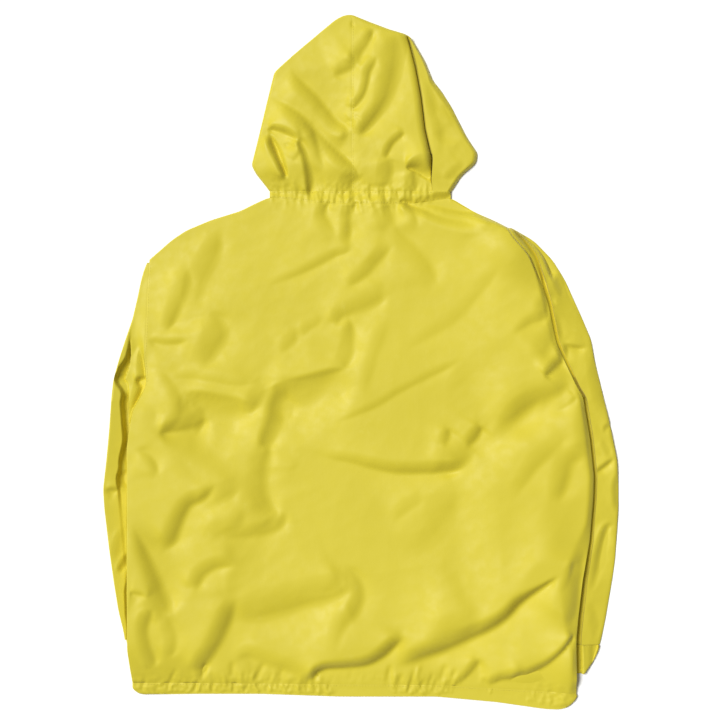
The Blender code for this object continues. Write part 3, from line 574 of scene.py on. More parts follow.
# Puckers along the hem and the neck as read in the plan: x and y of the upper point and of
# the lower one, half width and height in millimetres.
hemReadings = (
    (177, 667, 166, 691, 2.6, -1.1), (188, 680, 187, 692, 2.4, -0.5), (207, 662, 201, 681, 3.2, -1.9),
    (197, 680, 194, 695, 2.8, -1.7), (212, 684, 213, 695, 2.6, -1), (233, 682, 234, 695, 2.8, -1.4),
    (222, 672, 226, 690, 3, 0.7), (249, 683, 243, 695, 2.8, -1.1), (233, 660, 231, 680, 4.5, -0.9),
    (240, 670, 242, 690, 3.4, 0.6), (265, 662, 255, 682, 4.2, -1.1), (267, 680, 266, 695, 2.4, -1.3),
    (283, 666, 277, 694, 3.4, -0.9), (291, 680, 286, 694, 2.6, -0.7), (300, 676, 298, 692, 4, 0.5),
    (334, 676, 327, 693, 2.8, -0.8), (353, 670, 342, 698, 2.8, -1.5), (362, 676, 356, 696, 3.4, 0.6),
    (376, 676, 371, 698, 2.8, -0.8), (391, 664, 385, 698, 3.4, -1.9), (403, 673, 396, 696, 2.8, -1),
    (417, 668, 406, 698, 3, -1.4), (425, 680, 416, 699, 2.8, -1), (433, 673, 427, 694, 2.8, -0.9),
    (439, 680, 430, 700, 2.6, -1.7), (446, 678, 441, 698, 3, 0.8), (459, 682, 453, 700, 2.8, -1.6),
    (469, 674, 465, 700, 2.8, -1), (484, 684, 478, 702, 2.8, -1.2), (492, 688, 488, 702, 3, 0.6),
    (502, 688, 494, 703, 2.8, -1.4), (520, 690, 515, 704, 4, 0.4), (384, 684, 380, 698, 2.4, -0.7),
    (411, 676, 404, 696, 3, 0.7), (318, 684, 314, 696, 3, -0.5), (158, 684, 155, 694, 3.4, -0.5),
    (447, 664, 440, 684, 4, -1), (456, 668, 450, 690, 3.2, -1.2), (466, 680, 462, 696, 2.6, 0.8),
    (476, 676, 470, 696, 3, -1.1), (484, 674, 478, 690, 3, 0.8), (497, 684, 491, 702, 3, -1.2),
    (509, 688, 505, 704, 2.8, -1), (528, 690, 524, 706, 3, -0.9), (540, 692, 537, 707, 3, -0.8),
    (556, 694, 552, 708, 3.2, -0.8), (345, 676, 338, 696, 2.6, -1), (322, 668, 316, 690, 3, 0.7),
    (309, 676, 306, 694, 2.6, -1), (172, 682, 170, 694, 2.6, 0.8), (146, 676, 141, 692, 3, -0.8),
    (256, 668, 248, 690, 2.6, 0.6), (275, 670, 270, 692, 2.4, 0.7), (397, 672, 391, 694, 2.6, 0.7),
    (421, 664, 412, 684, 3, 0.8),
)
neckReadings = (
    (281, 186, 279, 202, 3.4, -0.8), (290, 188, 291, 206, 3, 0.6), (300, 184, 297, 204, 3, -1.2),
    (309, 186, 311, 202, 3.2, -1.4), (316, 188, 319, 206, 2.8, 1), (324, 186, 322, 206, 3, -1.1),
    (331, 188, 333, 206, 3, 0.9), (338, 184, 336, 206, 2.8, -1.2), (343, 184, 345, 210, 2.6, -1),
    (350, 188, 348, 204, 2.8, 1.1), (356, 186, 353, 204, 3, -1.4), (363, 186, 366, 208, 2.6, 0.8),
    (370, 182, 371, 202, 2.8, -1.1), (378, 186, 376, 206, 2.6, 0.9), (384, 184, 386, 206, 2.8, -1.4),
    (391, 186, 390, 204, 2.6, 0.9), (397, 186, 401, 208, 2.8, -1.3), (404, 188, 403, 204, 2.6, 0.8),
    (411, 184, 413, 206, 2.8, -1.2), (420, 186, 419, 202, 3, 0.7), (428, 184, 431, 204, 3, -1),
    (438, 186, 437, 202, 3.4, -0.6),
)
hemPuckers = [puckerRow(*reading, garment["hemSwelling"]) for reading in hemReadings]
neckPuckers = [puckerRow(*reading, 1.0) for reading in neckReadings]


def topRollWidth(x):
    # narrow along the left shoulder and the left of the hood, wider to the right
    return garment["edgeRoll"] + (garment["rightRoll"] - garment["edgeRoll"]) * smoothStep((x + 20.0) / 40.0)


def neckRoll(x):
    # 1 along the shoulders, where the cloth folds over, and 0 along the neck seam
    inside = np.minimum(x - garment["neckLeft"], garment["neckRight"] - x)
    return 1.0 - smoothStep(inside / (1.5 * garment["edgeRoll"]))


def sleeveBed(x, y, hemFade):
    # height of what the body lies on, falling softly past the inner edge of each sleeve
    beneath = np.zeros(np.broadcast(x, y).shape)
    for inner, sign, underarm in ((leftSleeveInner, 1.0, garment["leftUnderarm"]),
                                  (rightSleeveInner, -1.0, garment["rightUnderarm"])):
        past = sign * (readLine(inner, y) - x) + 85.0
        reach = smoothStep(past / 70.0) * smoothStep((underarm + 55.0 - y) / 45.0)
        beneath = np.maximum(beneath, reach * smoothStep((y - readLine(hemSeam, x)) / hemFade))
    return garment["bed"] * beneath


def gatherRelief(x, y):
    # puckers and small facets along the hem and the neck, the same on both sides of a
    # seam: full on the casing and falling by e^(-(distance / 14)^2) beside it
    fromHem = np.maximum(y - readLine(hemSeam, x), 0.0)
    fromNeck = np.maximum(np.maximum(readLine(topLine, x) - y, y - garment["hoodBottom"]), 0.0)
    byHem = 1.1 * np.exp(-((fromHem / 14.0) ** 2))
    byNeck = 0.8 * np.exp(-((fromNeck / 14.0) ** 2)) * (1.0 - neckRoll(x))
    small = (byHem + byNeck) * crumple(x, y, 44, 17.0, 7.0, 9)
    return small + puckerHeights(hemPuckers, x, y) + puckerHeights(neckPuckers, x, y)


def bodyRelief(x, y):
    # folds, mounds, puckers and small facets, falling to the hem by hemFall
    # e^(-distance / hemFallReach), no deeper than the layer below allows
    relief = foldHeights(bodyFolds, x, y) + moundHeights(bodyMounds, x, y)
    fromHem = np.maximum(y - readLine(hemSeam, x), 0.0)
    relief = relief + garment["fullness"]
    relief = relief - garment["hemFall"] * np.exp(-fromHem / garment["hemFallReach"])
    relief = relief + gatherRelief(x, y) + 0.32 * crumple(x, y, 4, 70.0, 20.0, 6, 35.0, 55.0)
    return -softLimit(-relief, -garment["deepest"], 0.8)


def bodyPlan(inset, columns, rows):
    # x runs straight from side to side at each row, and y from the hem seam to the top
    u, v = columns[:, None], rows[None, :]
    leftY = leftSide[0][0] + (leftSide[-1][0] - leftSide[0][0]) * v
    rightY = rightSide[0][0] + (rightSide[-1][0] - rightSide[0][0]) * v
    left = readLine(leftSide, leftY) + inset * readLine(leftRoll, leftY)
    right = readLine(rightSide, rightY) - inset * readLine(rightRoll, rightY)
    x = left + (right - left) * u
    low = readLine(hemSeam, x[:, :1]) + garment["seamGap"]
    high = readLine(topLine, x[:, -1:]) - inset * neckRoll(x[:, -1:])
    return x, low + (high - low) * v


def bodyEdge(x, y, inset):
    # 0 on a folded edge of the body and 1 away from it, a quarter round between
    left, right, top = readLine(leftRoll, y), readLine(rightRoll, y), neckRoll(x)
    fromLeft = x - readLine(leftSide, y) - inset * left
    fromRight = readLine(rightSide, y) - inset * right - x
    fromTop = readLine(topLine, x) - inset * top - y
    rise = 1.0 - left * (1.0 - quarterRound(fromLeft, garment["leftEdgeRoll"] - inset))
    rise = rise * (1.0 - right * (1.0 - softRound(fromRight, readLine(rightRollWidth, y) - inset)))
    return rise * (1.0 - top * (1.0 - quarterRound(fromTop, topRollWidth(x) - inset)))


def seamDip(distance):
    # a narrow groove along a sewn edge
    return -0.25 * np.exp(-((distance / 1.6) ** 2))


# Where the right edge stands off the sleeve: along the armhole, and again above the hem.
# Each lift, the x from which it grows and over how much, and its lowest and highest y.
edgeLifts = (
    (6.0, 150.0, 60.0, -70.0, 40.0, 202.0, 20.0),
    (4.5, 240.0, 50.0, -476.0, 20.0, -250.0, 60.0),
)


def seamHeight(x, y):
    # height at which back and front meet, raised by the edge's lifts
    level = sleeveBed(x, y, 24.0) + garment["pair"] / 2
    for lift, fromX, overX, lowY, lowOver, highY, highOver in edgeLifts:
        inside = smoothStep((y - lowY) / lowOver) * smoothStep((highY - y) / highOver)
        level = level + lift * smoothStep((x - fromX) / overX) * inside
    return level


def backHeight(x, y, inset=0.0):
    # outer face of the back over whatever it lies on
    seam = seamHeight(x, y) + garment["seamGap"] / 2
    crest = sleeveBed(x, y, 62.0) + garment["pair"] + bodyRelief(x, y)
    crest = crest + seamDip(y - readLine(hemSeam, x)) + seamDip(readLine(topLine, x) - y)
    crest = crest + 2.0 * seamDip(x - readLine(leftSide, y)) * smoothStep(y / 30.0)
    crest = softLimit(crest, garment["highest"], 1.2) - inset
    return seam + (crest - seam) * bodyEdge(x, y, inset)


def frontHeight(x, y, inset=0.0):
    # outer face of the front, its underside, which lies on the floor and on the sleeves
    bed = sleeveBed(x, y, 24.0)
    seam = seamHeight(x, y) - garment["seamGap"] / 2
    return seam + (bed + inset - seam) * bodyEdge(x, y, inset)


def bodyPanel(name, height, columns, rows, step):
    # the shares are laid out for the inner grid and split step times for the outer one
    width = hemSeam[-1][0] - hemSeam[0][0]
    length = leftSide[-1][0] - leftSide[0][0]
    grids = []
    for inset, split in ((0.0, step), (garment["wall"], 1)):
        shares = (spreadShares(columns, width), spreadShares(rows, length, False, True))
        shares = [np.interp(np.arange((len(share) - 1) * split + 1) / split, np.arange(len(share)), share)
                  for share in shares]
        x, y = bodyPlan(inset, *shares)
        grids.append(np.stack((x, y, height(x, y, inset)), -1))
    return clothShell(name, *grids, step=step)


backPanel = bodyPanel("backPanel", backHeight, 127, 140, 2)
frontPanel = bodyPanel("frontPanel", frontHeight, 66, 72, 1)
print("body made")


sleeveLeftShape = {
    "sign": 1.0, "underarm": -86, "cuff": -402, "top": 145,
    "join": ((-402, 1.5), (10, 1.5), (40, 14.0), (145, 14.0)), "slit": -1.0,
    "wallWidth": 2.5, "roll": ((-402, 2.4), (145, 2.4)), "gap": ((-402, 2.0), (145, 2.0)), "gapFloor": None,
    "body": leftSide, "edge": leftSleeveEdge, "inner": leftSleeveInner,
}
sleeveRightShape = {
    "sign": -1.0, "underarm": -50, "cuff": -410, "top": 195.5, "slit": -1.0,
    "join": ((-410, 1.2), (110, 1.2), (130, 5.0), (150, 9.0), (180, 15.0), (190, 15.0)),
    "wallWidth": 3.0, "gapFloor": 2.6,
    "roll": ((-410, 5.0), (-200, 5.0), (0, 6.0), (100, 7.0), (190, 7.0)),
    "gap": ((-410, 8.0), (-344, 9.0), (-300, 8.0), (-240, 5.5), (30, 5.5), (90, 6.0),
            (120, 7.5), (141, 9.5), (163, 14.0), (178, 16.0), (190, 10.0)),
    "body": rightSide, "edge": rightSleeveEdge, "inner": rightSleeveInner,
}
# Left sleeve: height of its outer strip, and the open hollow between the strip and the
# body: rows of y, then its left side, its right side and its depth.
leftStrip = (
    (-402, 0.0), (-330, 1.0), (-215, 1.5), (-190, 4.0), (-180, 7.5), (-60, 8.0), (-30, 7.0),
    (0, 7.0), (20, 4.0), (40, 1.0), (90, 0.0),
)
leftHollow = (
    (-402, -341, -338, 0.0), (-380, -341, -337, 0.0), (-366, -342, -337, 5.0), (-330, -343, -336, 6.0),
    (-318, -341, -336, 4.0), (-308, -341, -337, 0.0), (-262, -345, -340, 0.0), (-181, -352, -340, 0.0),
    (-177, -353, -339, 6.0), (-163, -354, -339, 8.0), (-156, -350, -339, 3.0), (-148, -350, -339, 4.0),
    (-139, -350, -339, 7.0), (-127, -347, -338, 8.0), (-112, -344, -336, 9.0), (-98, -345, -333, 9.0),
    (-86, -346, -337, 9.0), (-69, -347, -338, 9.0), (-56, -348, -338, 9.0), (-48, -346, -338, 8.0),
    (-43, -345, -338, 3.0), (-38, -348, -338, 2.5), (-29, -356, -339, 2.5), (-24, -357, -344, 7.0),
    (-17, -354, -341, 9.0), (-8, -351, -338, 9.0), (1, -344, -336, 8.0), (8, -340, -335, 9.0),
    (25, -337, -335, 5.0), (34, -336, -335, 0.0), (145, -335, -333, 0.0),
)
# Plain folds in millimetres, for plainFold: points of the line, band at the start and the
# end, crest and its reach, foot and its reach, and where the fold is strongest.
leftPlainFolds = (
    (((-348, -190), (-354, -183), (-372, -184)), 3, 3, 1.6, 12, 1.8, 10, 0.5),
    (((-316, -28), (-325, -50), (-334, -74)), 4, 3, 1.2, 9, 2.4, 7, 0.5),
    (((-340, -274), (-346, -290), (-354, -306)), 3.4, 4, 1.6, 8, 4.0, 7, 0.5),
    (((-345, -236), (-352, -262), (-358, -300)), 5, 6, 1.2, 9, 1.0, 10, 0.4),
)
# Folds in millimetres for foldHeights: points of the line, band at the start and the end,
# lean, growing, fading, crest and its reach, foot and its reach.
leftSleeveFolds = (
    *[plainFold(*row) for row in leftPlainFolds],
    (((-310, -24), (-320, -22), (-331, -26)), 5, 5, -0.3, 0.15, 0.3, 3, 14, 3, 10),
    (((-313, 134), (-315, 80), (-315, 28)), 7, 8, -0.3, 0.2, 0.2, 0.8, 8, 0.8, 6),
    (((-315, 28), (-318, -20), (-327, -58), (-333, -80)), 10, 12, -0.3, 0.15, 0.12, 2.6, 10, 3.0, 6),
)
rightPlainFolds = (
    (((278, 134), (283, 114), (292, 94)), 4, 4, 1.6, 7, 0.6, 8, 0.5),
    (((262, 98), (270, 88), (284, 82)), 3, 3, 1.2, 9, 2.0, 7, 0.5),
    (((276, 74), (284, 50), (290, 30)), 5, 4, 1.8, 8, 1.6, 12, 0.5),
    (((330, 22), (306, 24), (292, 28)), 3, 3, 1.6, 12, 3.2, 9, 0.6),
    (((296, 24), (294, 12), (290, -4)), 4, 4, -1.0, 6, 3.0, 9, 0.5),
    (((330, 16), (342, -30), (352, -78)), 7, 9, 1.6, 16, 3.0, 12, 0.5),
    (((366, -88), (356, -92), (350, -102)), 3, 3, 1.0, 8, 1.8, 7, 0.4),
    (((368, -138), (354, -148), (336, -162)), 3, 3, 1.4, 12, 3.4, 8, 0.5),
    (((372, -156), (368, -180), (370, -220)), 4, 4, 1.2, 10, 2.6, 10, 0.5),
    (((372, -234), (356, -238), (347, -262), (340, -296), (330, -340)), 4, 6, 2.2, 12, 2.6, 10, 0.35),
    (((346, -110), (354, -124), (358, -138)), 4, 4, 0.8, 8, 0.9, 8, 0.5),
    (((326, -344), (336, -372), (338, -404)), 5, 5, 0.8, 10, 0.8, 10, 0.5),
)
rightSleeveFolds = (
    *[plainFold(*row) for row in rightPlainFolds],
    (((247, 178), (260, 163), (270, 141), (277, 116)), 5, 5, 0, 0.2, 0.3, 1.6, 8, 7.5, 12),
)
# The left sleeve's notch, how far it is raised as a whole, and the strip's inner edge.
leftNotches = (((-327, -30), (-312, -28), 4.5, -3.0),)
leftRaise = ((-402, 0.0), (-380, 4.0), (-210, 4.0), (-185, 0.0), (145, 0.0))
leftStripEdge = tuple((row[0], row[1]) for row in leftHollow)


def leftSleeveRelief(x, y):
    # the outer strip stands up flat, then the sleeve drops sharply into the hollow
    left, right, depth = (readLine([(row[0], row[column]) for row in leftHollow], y, 3.0)
                          for column in (1, 2, 3))
    slanted = 0.35 * smoothStep((x - left) / 3.0 + 0.5)
    slanted = slanted + 0.65 * np.clip((x - left) / (right - left), 0.0, 1.0)
    hollow = depth * slanted * smoothStep((right - x) / 1.4 + 0.5)
    strip = readLine(leftStrip, y) * smoothStep((readLine(leftStripEdge, y) - x) / 5.0 + 0.5)
    notch = puckerHeights(leftNotches, x, y) - 0.2 * (x - readLine(leftSleeveEdge, y) - 18.0)
    notch = notch + readLine(leftRaise, y)
    return strip - hollow + notch + foldHeights(leftSleeveFolds, x, y) + 0.25 * crumple(x, y, 8, 50.0, 9.0, 6)


# Right sleeve: how far it falls from beside the body to its outer fold, and how much
# lower it lies as a whole.
rightLower = (
    (-410, 1.0), (-370, 2.0), (-300, 4.0), (-250, 3.5), (-100, 0.5), (50, 0.0), (100, -1.0),
    (125, -4.0), (150, -4.0), (165, -2.0), (180, 3.0),
)
rightFall = (
    (-410, 9.0), (-370, 7.0), (-300, 5.0), (-200, 3.0), (-150, 2.0), (0, 6.0), (60, 11.0),
    (90, 14.0), (120, 17.0), (170, 18.0), (190, 12.0),
)


def rightSleeveRelief(x, y):
    # it falls evenly from beside the body to the outer fold, under its folds
    side, edge = readLine(rightSide, y), readLine(rightSleeveEdge, y)
    part = np.clip((x - side) / np.maximum(edge - side, 1.0), 0.0, 1.0)
    fall = readLine(rightFall, y) * (part - 0.35)
    fall = fall + readLine(rightLower, y)
    return foldHeights(rightSleeveFolds, x, y) - fall + 0.45 * crumple(x, y, 9, 60.0, 10.0, 7)


sleeve = {
    "rows": 270, "under": 6.0, "mostShown": 0.96, "crack": 0.15, "leastBeside": 0.4,
    "seamFade": 4.0, "settling": 0.4, "clear": 0.4, "endRoll": 2.5, "mostRoll": 0.7, "leastRoll": 0.8,
}


def sleeveGrid(shape, relief, inset):
    # at each row, from the inner edge over the top, round the outer edge and back beneath
    sign, underarm = shape["sign"], shape["underarm"]
    y = np.linspace(shape["cuff"], shape["top"] - inset, sleeve["rows"])[None, :]
    armhole = y > underarm
    outer = readLine(shape["edge"], y)
    seamX = readLine(shape["body"], y)
    inner = np.where(armhole, seamX, readLine(shape["inner"], y)) - sign * garment["seamGap"]
    width = np.abs(inner - outer) - inset
    beside = np.abs(seamX - outer) - inset
    shown = np.minimum(beside + sleeve["under"] * (1.0 - armhole), sleeve["mostShown"] * width)
    hiddenShare = np.linspace(1.0, 0.0, 6, endpoint=False)[:, None]
    wallAt = np.maximum(beside - readLine(shape["gap"], y) - inset, sleeve["leastBeside"] * beside)
    gapShare = np.linspace(1.0, 0.0, 8)[:, None]
    openShare = np.concatenate((np.linspace(1.0, 0.14, 34), (0.1, 0.065, 0.035, 0.015, 0.0)))[:, None]
    crack = sleeve["crack"]
    top = np.concatenate((shown + hiddenShare * (width - shown),
                          wallAt + crack + gapShare * (shown - wallAt - crack),
                          openShare * (wallAt - crack)))
    underShare = np.array((0.01, 0.03, 0.06, 0.12, 0.3, 0.55, 0.8, 1.0))[:, None]
    fromOuter = np.concatenate((top, underShare * width))
    onTop = np.arange(len(fromOuter))[:, None] < len(top)
    x = outer + sign * (inset + fromOuter)
    y = np.broadcast_to(y, x.shape)

    bodyTop = backHeight(seamX + 0 * x, y)
    bodyUnder = frontHeight(seamX + 0 * x, y)
    atSeam = smoothStep((y - underarm) / sleeve["seamFade"] + 1.0)
    outside = smoothStep((sign * (seamX - x) - shape["slit"]) / shape["wallWidth"])
    lift = garment["pair"] - garment["layers"]
    shownHere = np.where(armhole, 1.0, outside)
    level = garment["layers"] - sleeve["settling"] + lift * shownHere
    near = np.exp(-(((width - fromOuter) / readLine(shape["join"], y)) ** 2)) * atSeam
    crest = level + (bodyTop - level) * near + relief(x, y) * shownHere * (1.0 - near)
    if shape["gapFloor"]:
        fromSeam = smoothStep((sign * (seamX - x) + 1.0) / 1.5)
        slotted = fromSeam * (fromOuter > wallAt) * (1.0 - near)
        crest = crest + (shape["gapFloor"] - crest) * slotted
    lowest = 2.0 * garment["wall"] + sleeve["clear"]
    crest = np.maximum(crest, lowest)
    base = np.minimum(bodyUnder, bodyTop - 2.5) * near
    crest = np.maximum(crest, base + lowest)
    middle = np.minimum(garment["pair"] / 2, 0.5 * crest)
    reach = np.minimum(readLine(shape["roll"], y), sleeve["mostRoll"] * width) - inset
    reach = np.maximum(reach, sleeve["leastRoll"])
    rise = quarterRound(fromOuter, reach) * quarterRound(shape["top"] - y, sleeve["endRoll"])
    face = np.where(onTop, crest - inset, base + inset)
    return np.stack((x, y, middle + (face - middle) * rise), -1)


def sleevePiece(name, shape, relief):
    return clothShell(name, *[sleeveGrid(shape, relief, inset) for inset in (0.0, garment["wall"])])


sleeveLeft = sleevePiece("sleeveLeft", sleeveLeftShape, leftSleeveRelief)
sleeveRight = sleevePiece("sleeveRight", sleeveRightShape, rightSleeveRelief)
print("sleeves made")


def ringGrid(ends, edges, crest, columns, endRolls, inset):
    # a flattened ring: shares run over the top and back beneath, the other way goes
    # across the ring, and both folded ends are rolled, each over its own width
    length = abs(ends(0.0)[1] - ends(0.0)[0])
    over = spreadShares(columns[0], length)
    back = spreadShares(columns[1], length)[::-1][1:-1]
    share = np.concatenate((over, back))[:, None]
    onTop = np.arange(len(share))[:, None] < len(over)
    across = np.linspace(0.0, 1.0, 13)[None, :]
    start, stop = ends(across)
    x = start + inset + (stop - start - 2 * inset) * share
    y = edges(x, across)
    rise = quarterRound(x - start - inset, endRolls[0] - inset)
    rise = rise * softRound(stop - x - inset, endRolls[1] - inset)
    face = np.where(onTop, crest(x, y, across) - inset, inset)
    middle = garment["pair"] / 2
    return np.stack((x, y, middle + (face - middle) * rise), -1)


def ringPiece(name, ends, edges, crest, columns, endRolls):
    grids = [ringGrid(ends, edges, crest, columns, endRolls, inset) for inset in (0.0, garment["wall"])]
    return clothShell(name, *grids, looped=True)


def hemEnds(across):
    return hemSeam[0][0] + 0.0 * across, hemSeam[-1][0] + 1.5 * across


def hemPlace(x, across):
    seam = readLine(hemSeam, x)
    return seam + (readLine(hemEdge, x) - seam) * across


def hemCrest(x, y, across):
    # the body's relief runs on over the seam, falls a little and is rolled down at the edge
    level = garment["pair"] + bodyRelief(x, y) - 1.2 * across
    rolled = 4.0 * (1.0 - quarterRound(1.0 - across, 0.45))
    return np.maximum(level + seamDip(across * 17.0) - rolled, 2.0 * garment["wall"] + 0.5)


def neckEnds(across):
    return garment["neckLeft"] + 0.5 + 0.0 * across, garment["neckRight"] - 0.5 + 0.0 * across


def neckPlace(x, across):
    seam = readLine(topLine, x) + garment["seamGap"]
    return seam + (garment["hoodBottom"] - garment["seamGap"] - seam) * across


def neckCrest(x, y, across):
    # it runs from the body's height over into the hood's height
    pastPleat = smoothStep((x - 98.0) / 8.0)
    below, above = bodyRelief(x, y), hoodRelief(x, y) * (1.0 - pastPleat) + 0.6 * pastPleat
    level = garment["pair"] + below + (above - below) * smoothStep(across)
    return level + seamDip(across * 12.0) + seamDip((1.0 - across) * 12.0)


hood = {
    "seam": -14, "peak": 505, "dome": 5.0, "deepest": 6.2, "top": 31.0, "bandEdge": 1.6,
    "leftRoll": 3.5, "rightRoll": 12.0, "bandRoll": 3.5, "rightFoot": 5.4, "closedBelow": 266.0,
    "closingOver": 8.0,
}

hoodLeftEdge = sideLine((
    (269, 191), (256, 174), (251, 165), (259, 135), (266, 103), (274, 72), (290, 58),
), (
    (262, -144),
))
hoodPleat = sideLine((
    (431, 180), (431, 156), (425, 130), (421, 96), (415, 67), (410, 46),
), (
    (249, 103), (477, 65),
))
bandRightEdge = (
    (249, 131), (272, 146), (290, 167), (304, 169), (328, 153), (373, 130), (395, 116),
    (410, 104), (439, 92), (470, 74),
)
hoodTop = crossLine((
    (290, 58), (312, 39), (336, 19), (390, 28.5),
), (
    (-25, 504), (-14, 505), (17, 493), (65, 477), (74, 470),
))
faceSlit = ((249, 4), (275, 14), (340, 17), (400, 14), (440, 0.2), (505, 0.2))
hoodReadings = (
    (((372, 27), (365, 41), (357, 53), (353, 66)), 6, 10, 32, 0, 0, 0.2, 0.15, 1.8, 26, 1.8, 9),
    (((356, 61), (345, 67), (331, 74)), 9, 8, 27, 0, 0, 0.2, 0.3, 1.2, 18, 1, 9),
    (((375, 55), (367, 71), (364, 84), (360, 96), (349, 111)), 7, 5, 38, 0, 0, 0.2, 0.12, 2.6, 20, 2.8,
     10),
    (((404, 131), (393, 140), (387, 149), (383, 160)), 5, 5, 38, 0, 0, 0.15, 0.2, 1.2, 10, 2, 9),
    (((385, 158), (385, 172), (382, 188)), 10, 10, 18, 0, 0, 0.2, 0.2, 0.9, 12, 0.9, 10),
    (((300, 150), (296, 153), (290, 160)), 6, 6, 18, -1, 0, 0.3, 0.2, 0.8, 6, 0.9, 6),
    (((358, 172), (348, 180), (340, 194)), 10, 9, 20, 0, 0, 0.1, 0.2, 1.2, 12, 1.2, 9),
    (((410, 170), (411, 182), (409, 194)), 8, 8, 26, 0, 0, 0.2, 0.2, 1, 8, 1.4, 8),
    (((392, 30), (390, 55), (387, 78), (381, 100), (369, 119), (356, 136)), 20, 7, 28, 0, -0.2, 0.15,
     0.1, 4, 16, 3, 20),
    (((286, 70), (300, 88), (312, 100), (322, 112), (334, 126), (350, 134)), 10, 9, 20, 0, 0, 0.3, 0.1,
     3, 26, 2, 26),
    (((266, 98), (288, 113), (306, 128), (319, 141), (338, 160), (358, 178)), 10, 9, 21, 0, 0, 0.3, 0.2,
     3, 26, 2, 26),
    (((300, 124), (309, 132), (313, 145), (317, 159), (325, 173)), 6, 7, 19, 0, 0, 0.3, 0.3, 2, 14, 2,
     12),
    (((300, 141), (293, 135), (285, 131), (276, 128), (268, 127)), 5, 4, 38, 0, -0.4, 0.25, 0.12, 2, 20,
     2, 10),
    (((300, 147), (292, 144), (284, 142)), 5, 5, 16, 0, -0.4, 0.3, 0.3, 1, 10, 1.5, 10),
    (((297, 140), (301, 148), (304, 157), (307, 168), (309, 182), (309, 197)), 5, 7, 60, 0, 0.2, 0.1,
     0.15, 3, 22, 2, 16),
    (((267, 134), (270, 143), (274, 153), (278, 163), (282, 172), (286, 180)), 6, 4, 0, 0, -0.3, 0.2,
     0.15, 7, 20, 6.5, 3),
    (((434, 168), (427, 165), (419, 163), (405, 166)), 15, 4, 0, 0, -0.3, 0.02, 0.15, 6, 16, 6, 3),
)
hoodFolds = [foldRow(*reading) for reading in hoodReadings]
# Puckers beside the centre seam: upper point, lower point, half width, height.
hoodSlits = (
    ((-14, 495), (-12, 484), 2.6, -1.0),
    ((-26, 372), (-4, 366), 2.2, -0.6),
    ((-24, 362), (-16, 352), 2.4, 0.7),
    ((-10, 358), (0, 350), 2.4, -0.8),
    ((-24, 350), (-8, 348), 2.2, -0.7),
    ((-22, 384), (-8, 380), 2.6, 0.6),
    ((-25, 398), (-10, 394), 2.6, -0.5),
)
hoodMounds = (
    (40, 340, 70, 60, 60, 2.5),
    (-60, 420, 60, 40, 30, 1.5),
)


def hoodPlan(firstEdge, secondEdge, highY, columns, rows, insets, wall=None):
    # between two side lines, from the neck casing to the top of the hood; where there is a
    # steep wall, two columns stand close beside its line
    u = spreadShares(columns, 120, insets[0] is not None, insets[1] is not None)[:, None]
    v = spreadShares(rows, 220, False, True)[None, :]
    firstIn, secondIn = (inset or 0.0 for inset in insets)
    low = garment["hoodBottom"]
    first = firstEdge(low + (highY[0] - low) * v) + firstIn
    second = secondEdge(low + (highY[1] - low) * v) - secondIn
    x = first + (second - first) * u
    if wall is not None:
        lowSide = int(0.6 * len(u))
        place = wall(low + (highY[1] - low) * v)
        before = first + (place - 0.15 - first) * u / u[lowSide]
        after = place + 0.15 + (second - place - 0.15) * (u - u[lowSide + 1]) / (1.0 - u[lowSide + 1])
        x = np.where(np.arange(len(u))[:, None] <= lowSide, before, after)
    top = readLine(hoodTop, x[:, -1:], 4.0) - max(firstIn, secondIn)
    return x, low + (top - low) * v


def hoodRelief(x, y):
    # folds over a low dome, the neck's puckers running up into it, and the seam's groove
    dome = hood["dome"] * smoothStep((y - garment["hoodBottom"]) / 45.0)
    relief = foldHeights(hoodFolds, x, y) + moundHeights(hoodMounds, x, y) * dome / hood["dome"]
    relief = relief + gatherRelief(x, y) + puckerHeights(hoodSlits, x, y)
    relief = relief + 0.35 * crumple(x, y, 21, 60.0, 16.0, 6)
    seamed = 0.3 + 0.7 * np.exp(-(((y - 375.0) / 45.0) ** 2))
    groove = -0.6 * seamed * np.exp(-(((x - hood["seam"]) / 2.0) ** 2))
    return -softLimit(-(dome + relief + groove), hood["deepest"], 0.8)


def hoodRise(x, fromSide, fromTop, inset, sideReach):
    top = quarterRound(fromTop, topRollWidth(x) - inset)
    return quarterRound(fromSide, sideReach - inset) * top


def hoodHeight(x, y, side, edge, inset):
    # outer face of the back half of the hood, rolled down along its fold and its top
    fromSide = (x - readLine(edge, y, 4.0)) * -side - inset
    fromTop = readLine(hoodTop, x, 4.0) - inset - y
    low = garment["pair"] / 2 + 0.2 if side < 0 else hood["rightFoot"]
    crest = garment["pair"] + hoodRelief(x, y) + seamDip(y - garment["hoodBottom"])
    crest = softLimit(crest, hood["top"], 1.2) - inset
    if side > 0:
        closed = smoothStep((hood["closedBelow"] - y) / hood["closingOver"])
        low = low + (crest - 0.4 - low) * closed
    reach = hood["leftRoll"] if side < 0 else hood["rightRoll"]
    return low + (crest - low) * hoodRise(x, fromSide, fromTop, inset, reach)


def hoodPanel(name, edge, side):
    grids = []
    for inset in (0.0, garment["wall"]):
        def fold(y):
            return readLine(edge, y, 4.0)

        def seam(y):
            return hood["seam"] + side * garment["seamGap"] / 2 + 0.0 * y

        if side < 0:
            x, y = hoodPlan(fold, seam, (edge[-1][0], hood["peak"]), 84, 146, (inset, None))
        else:
            x, y = hoodPlan(seam, fold, (hood["peak"], edge[-1][0]), 84, 146, (None, inset))
        grids.append(np.stack((x, y, hoodHeight(x, y, side, edge, inset)), -1))
    return clothShell(name, *grids)


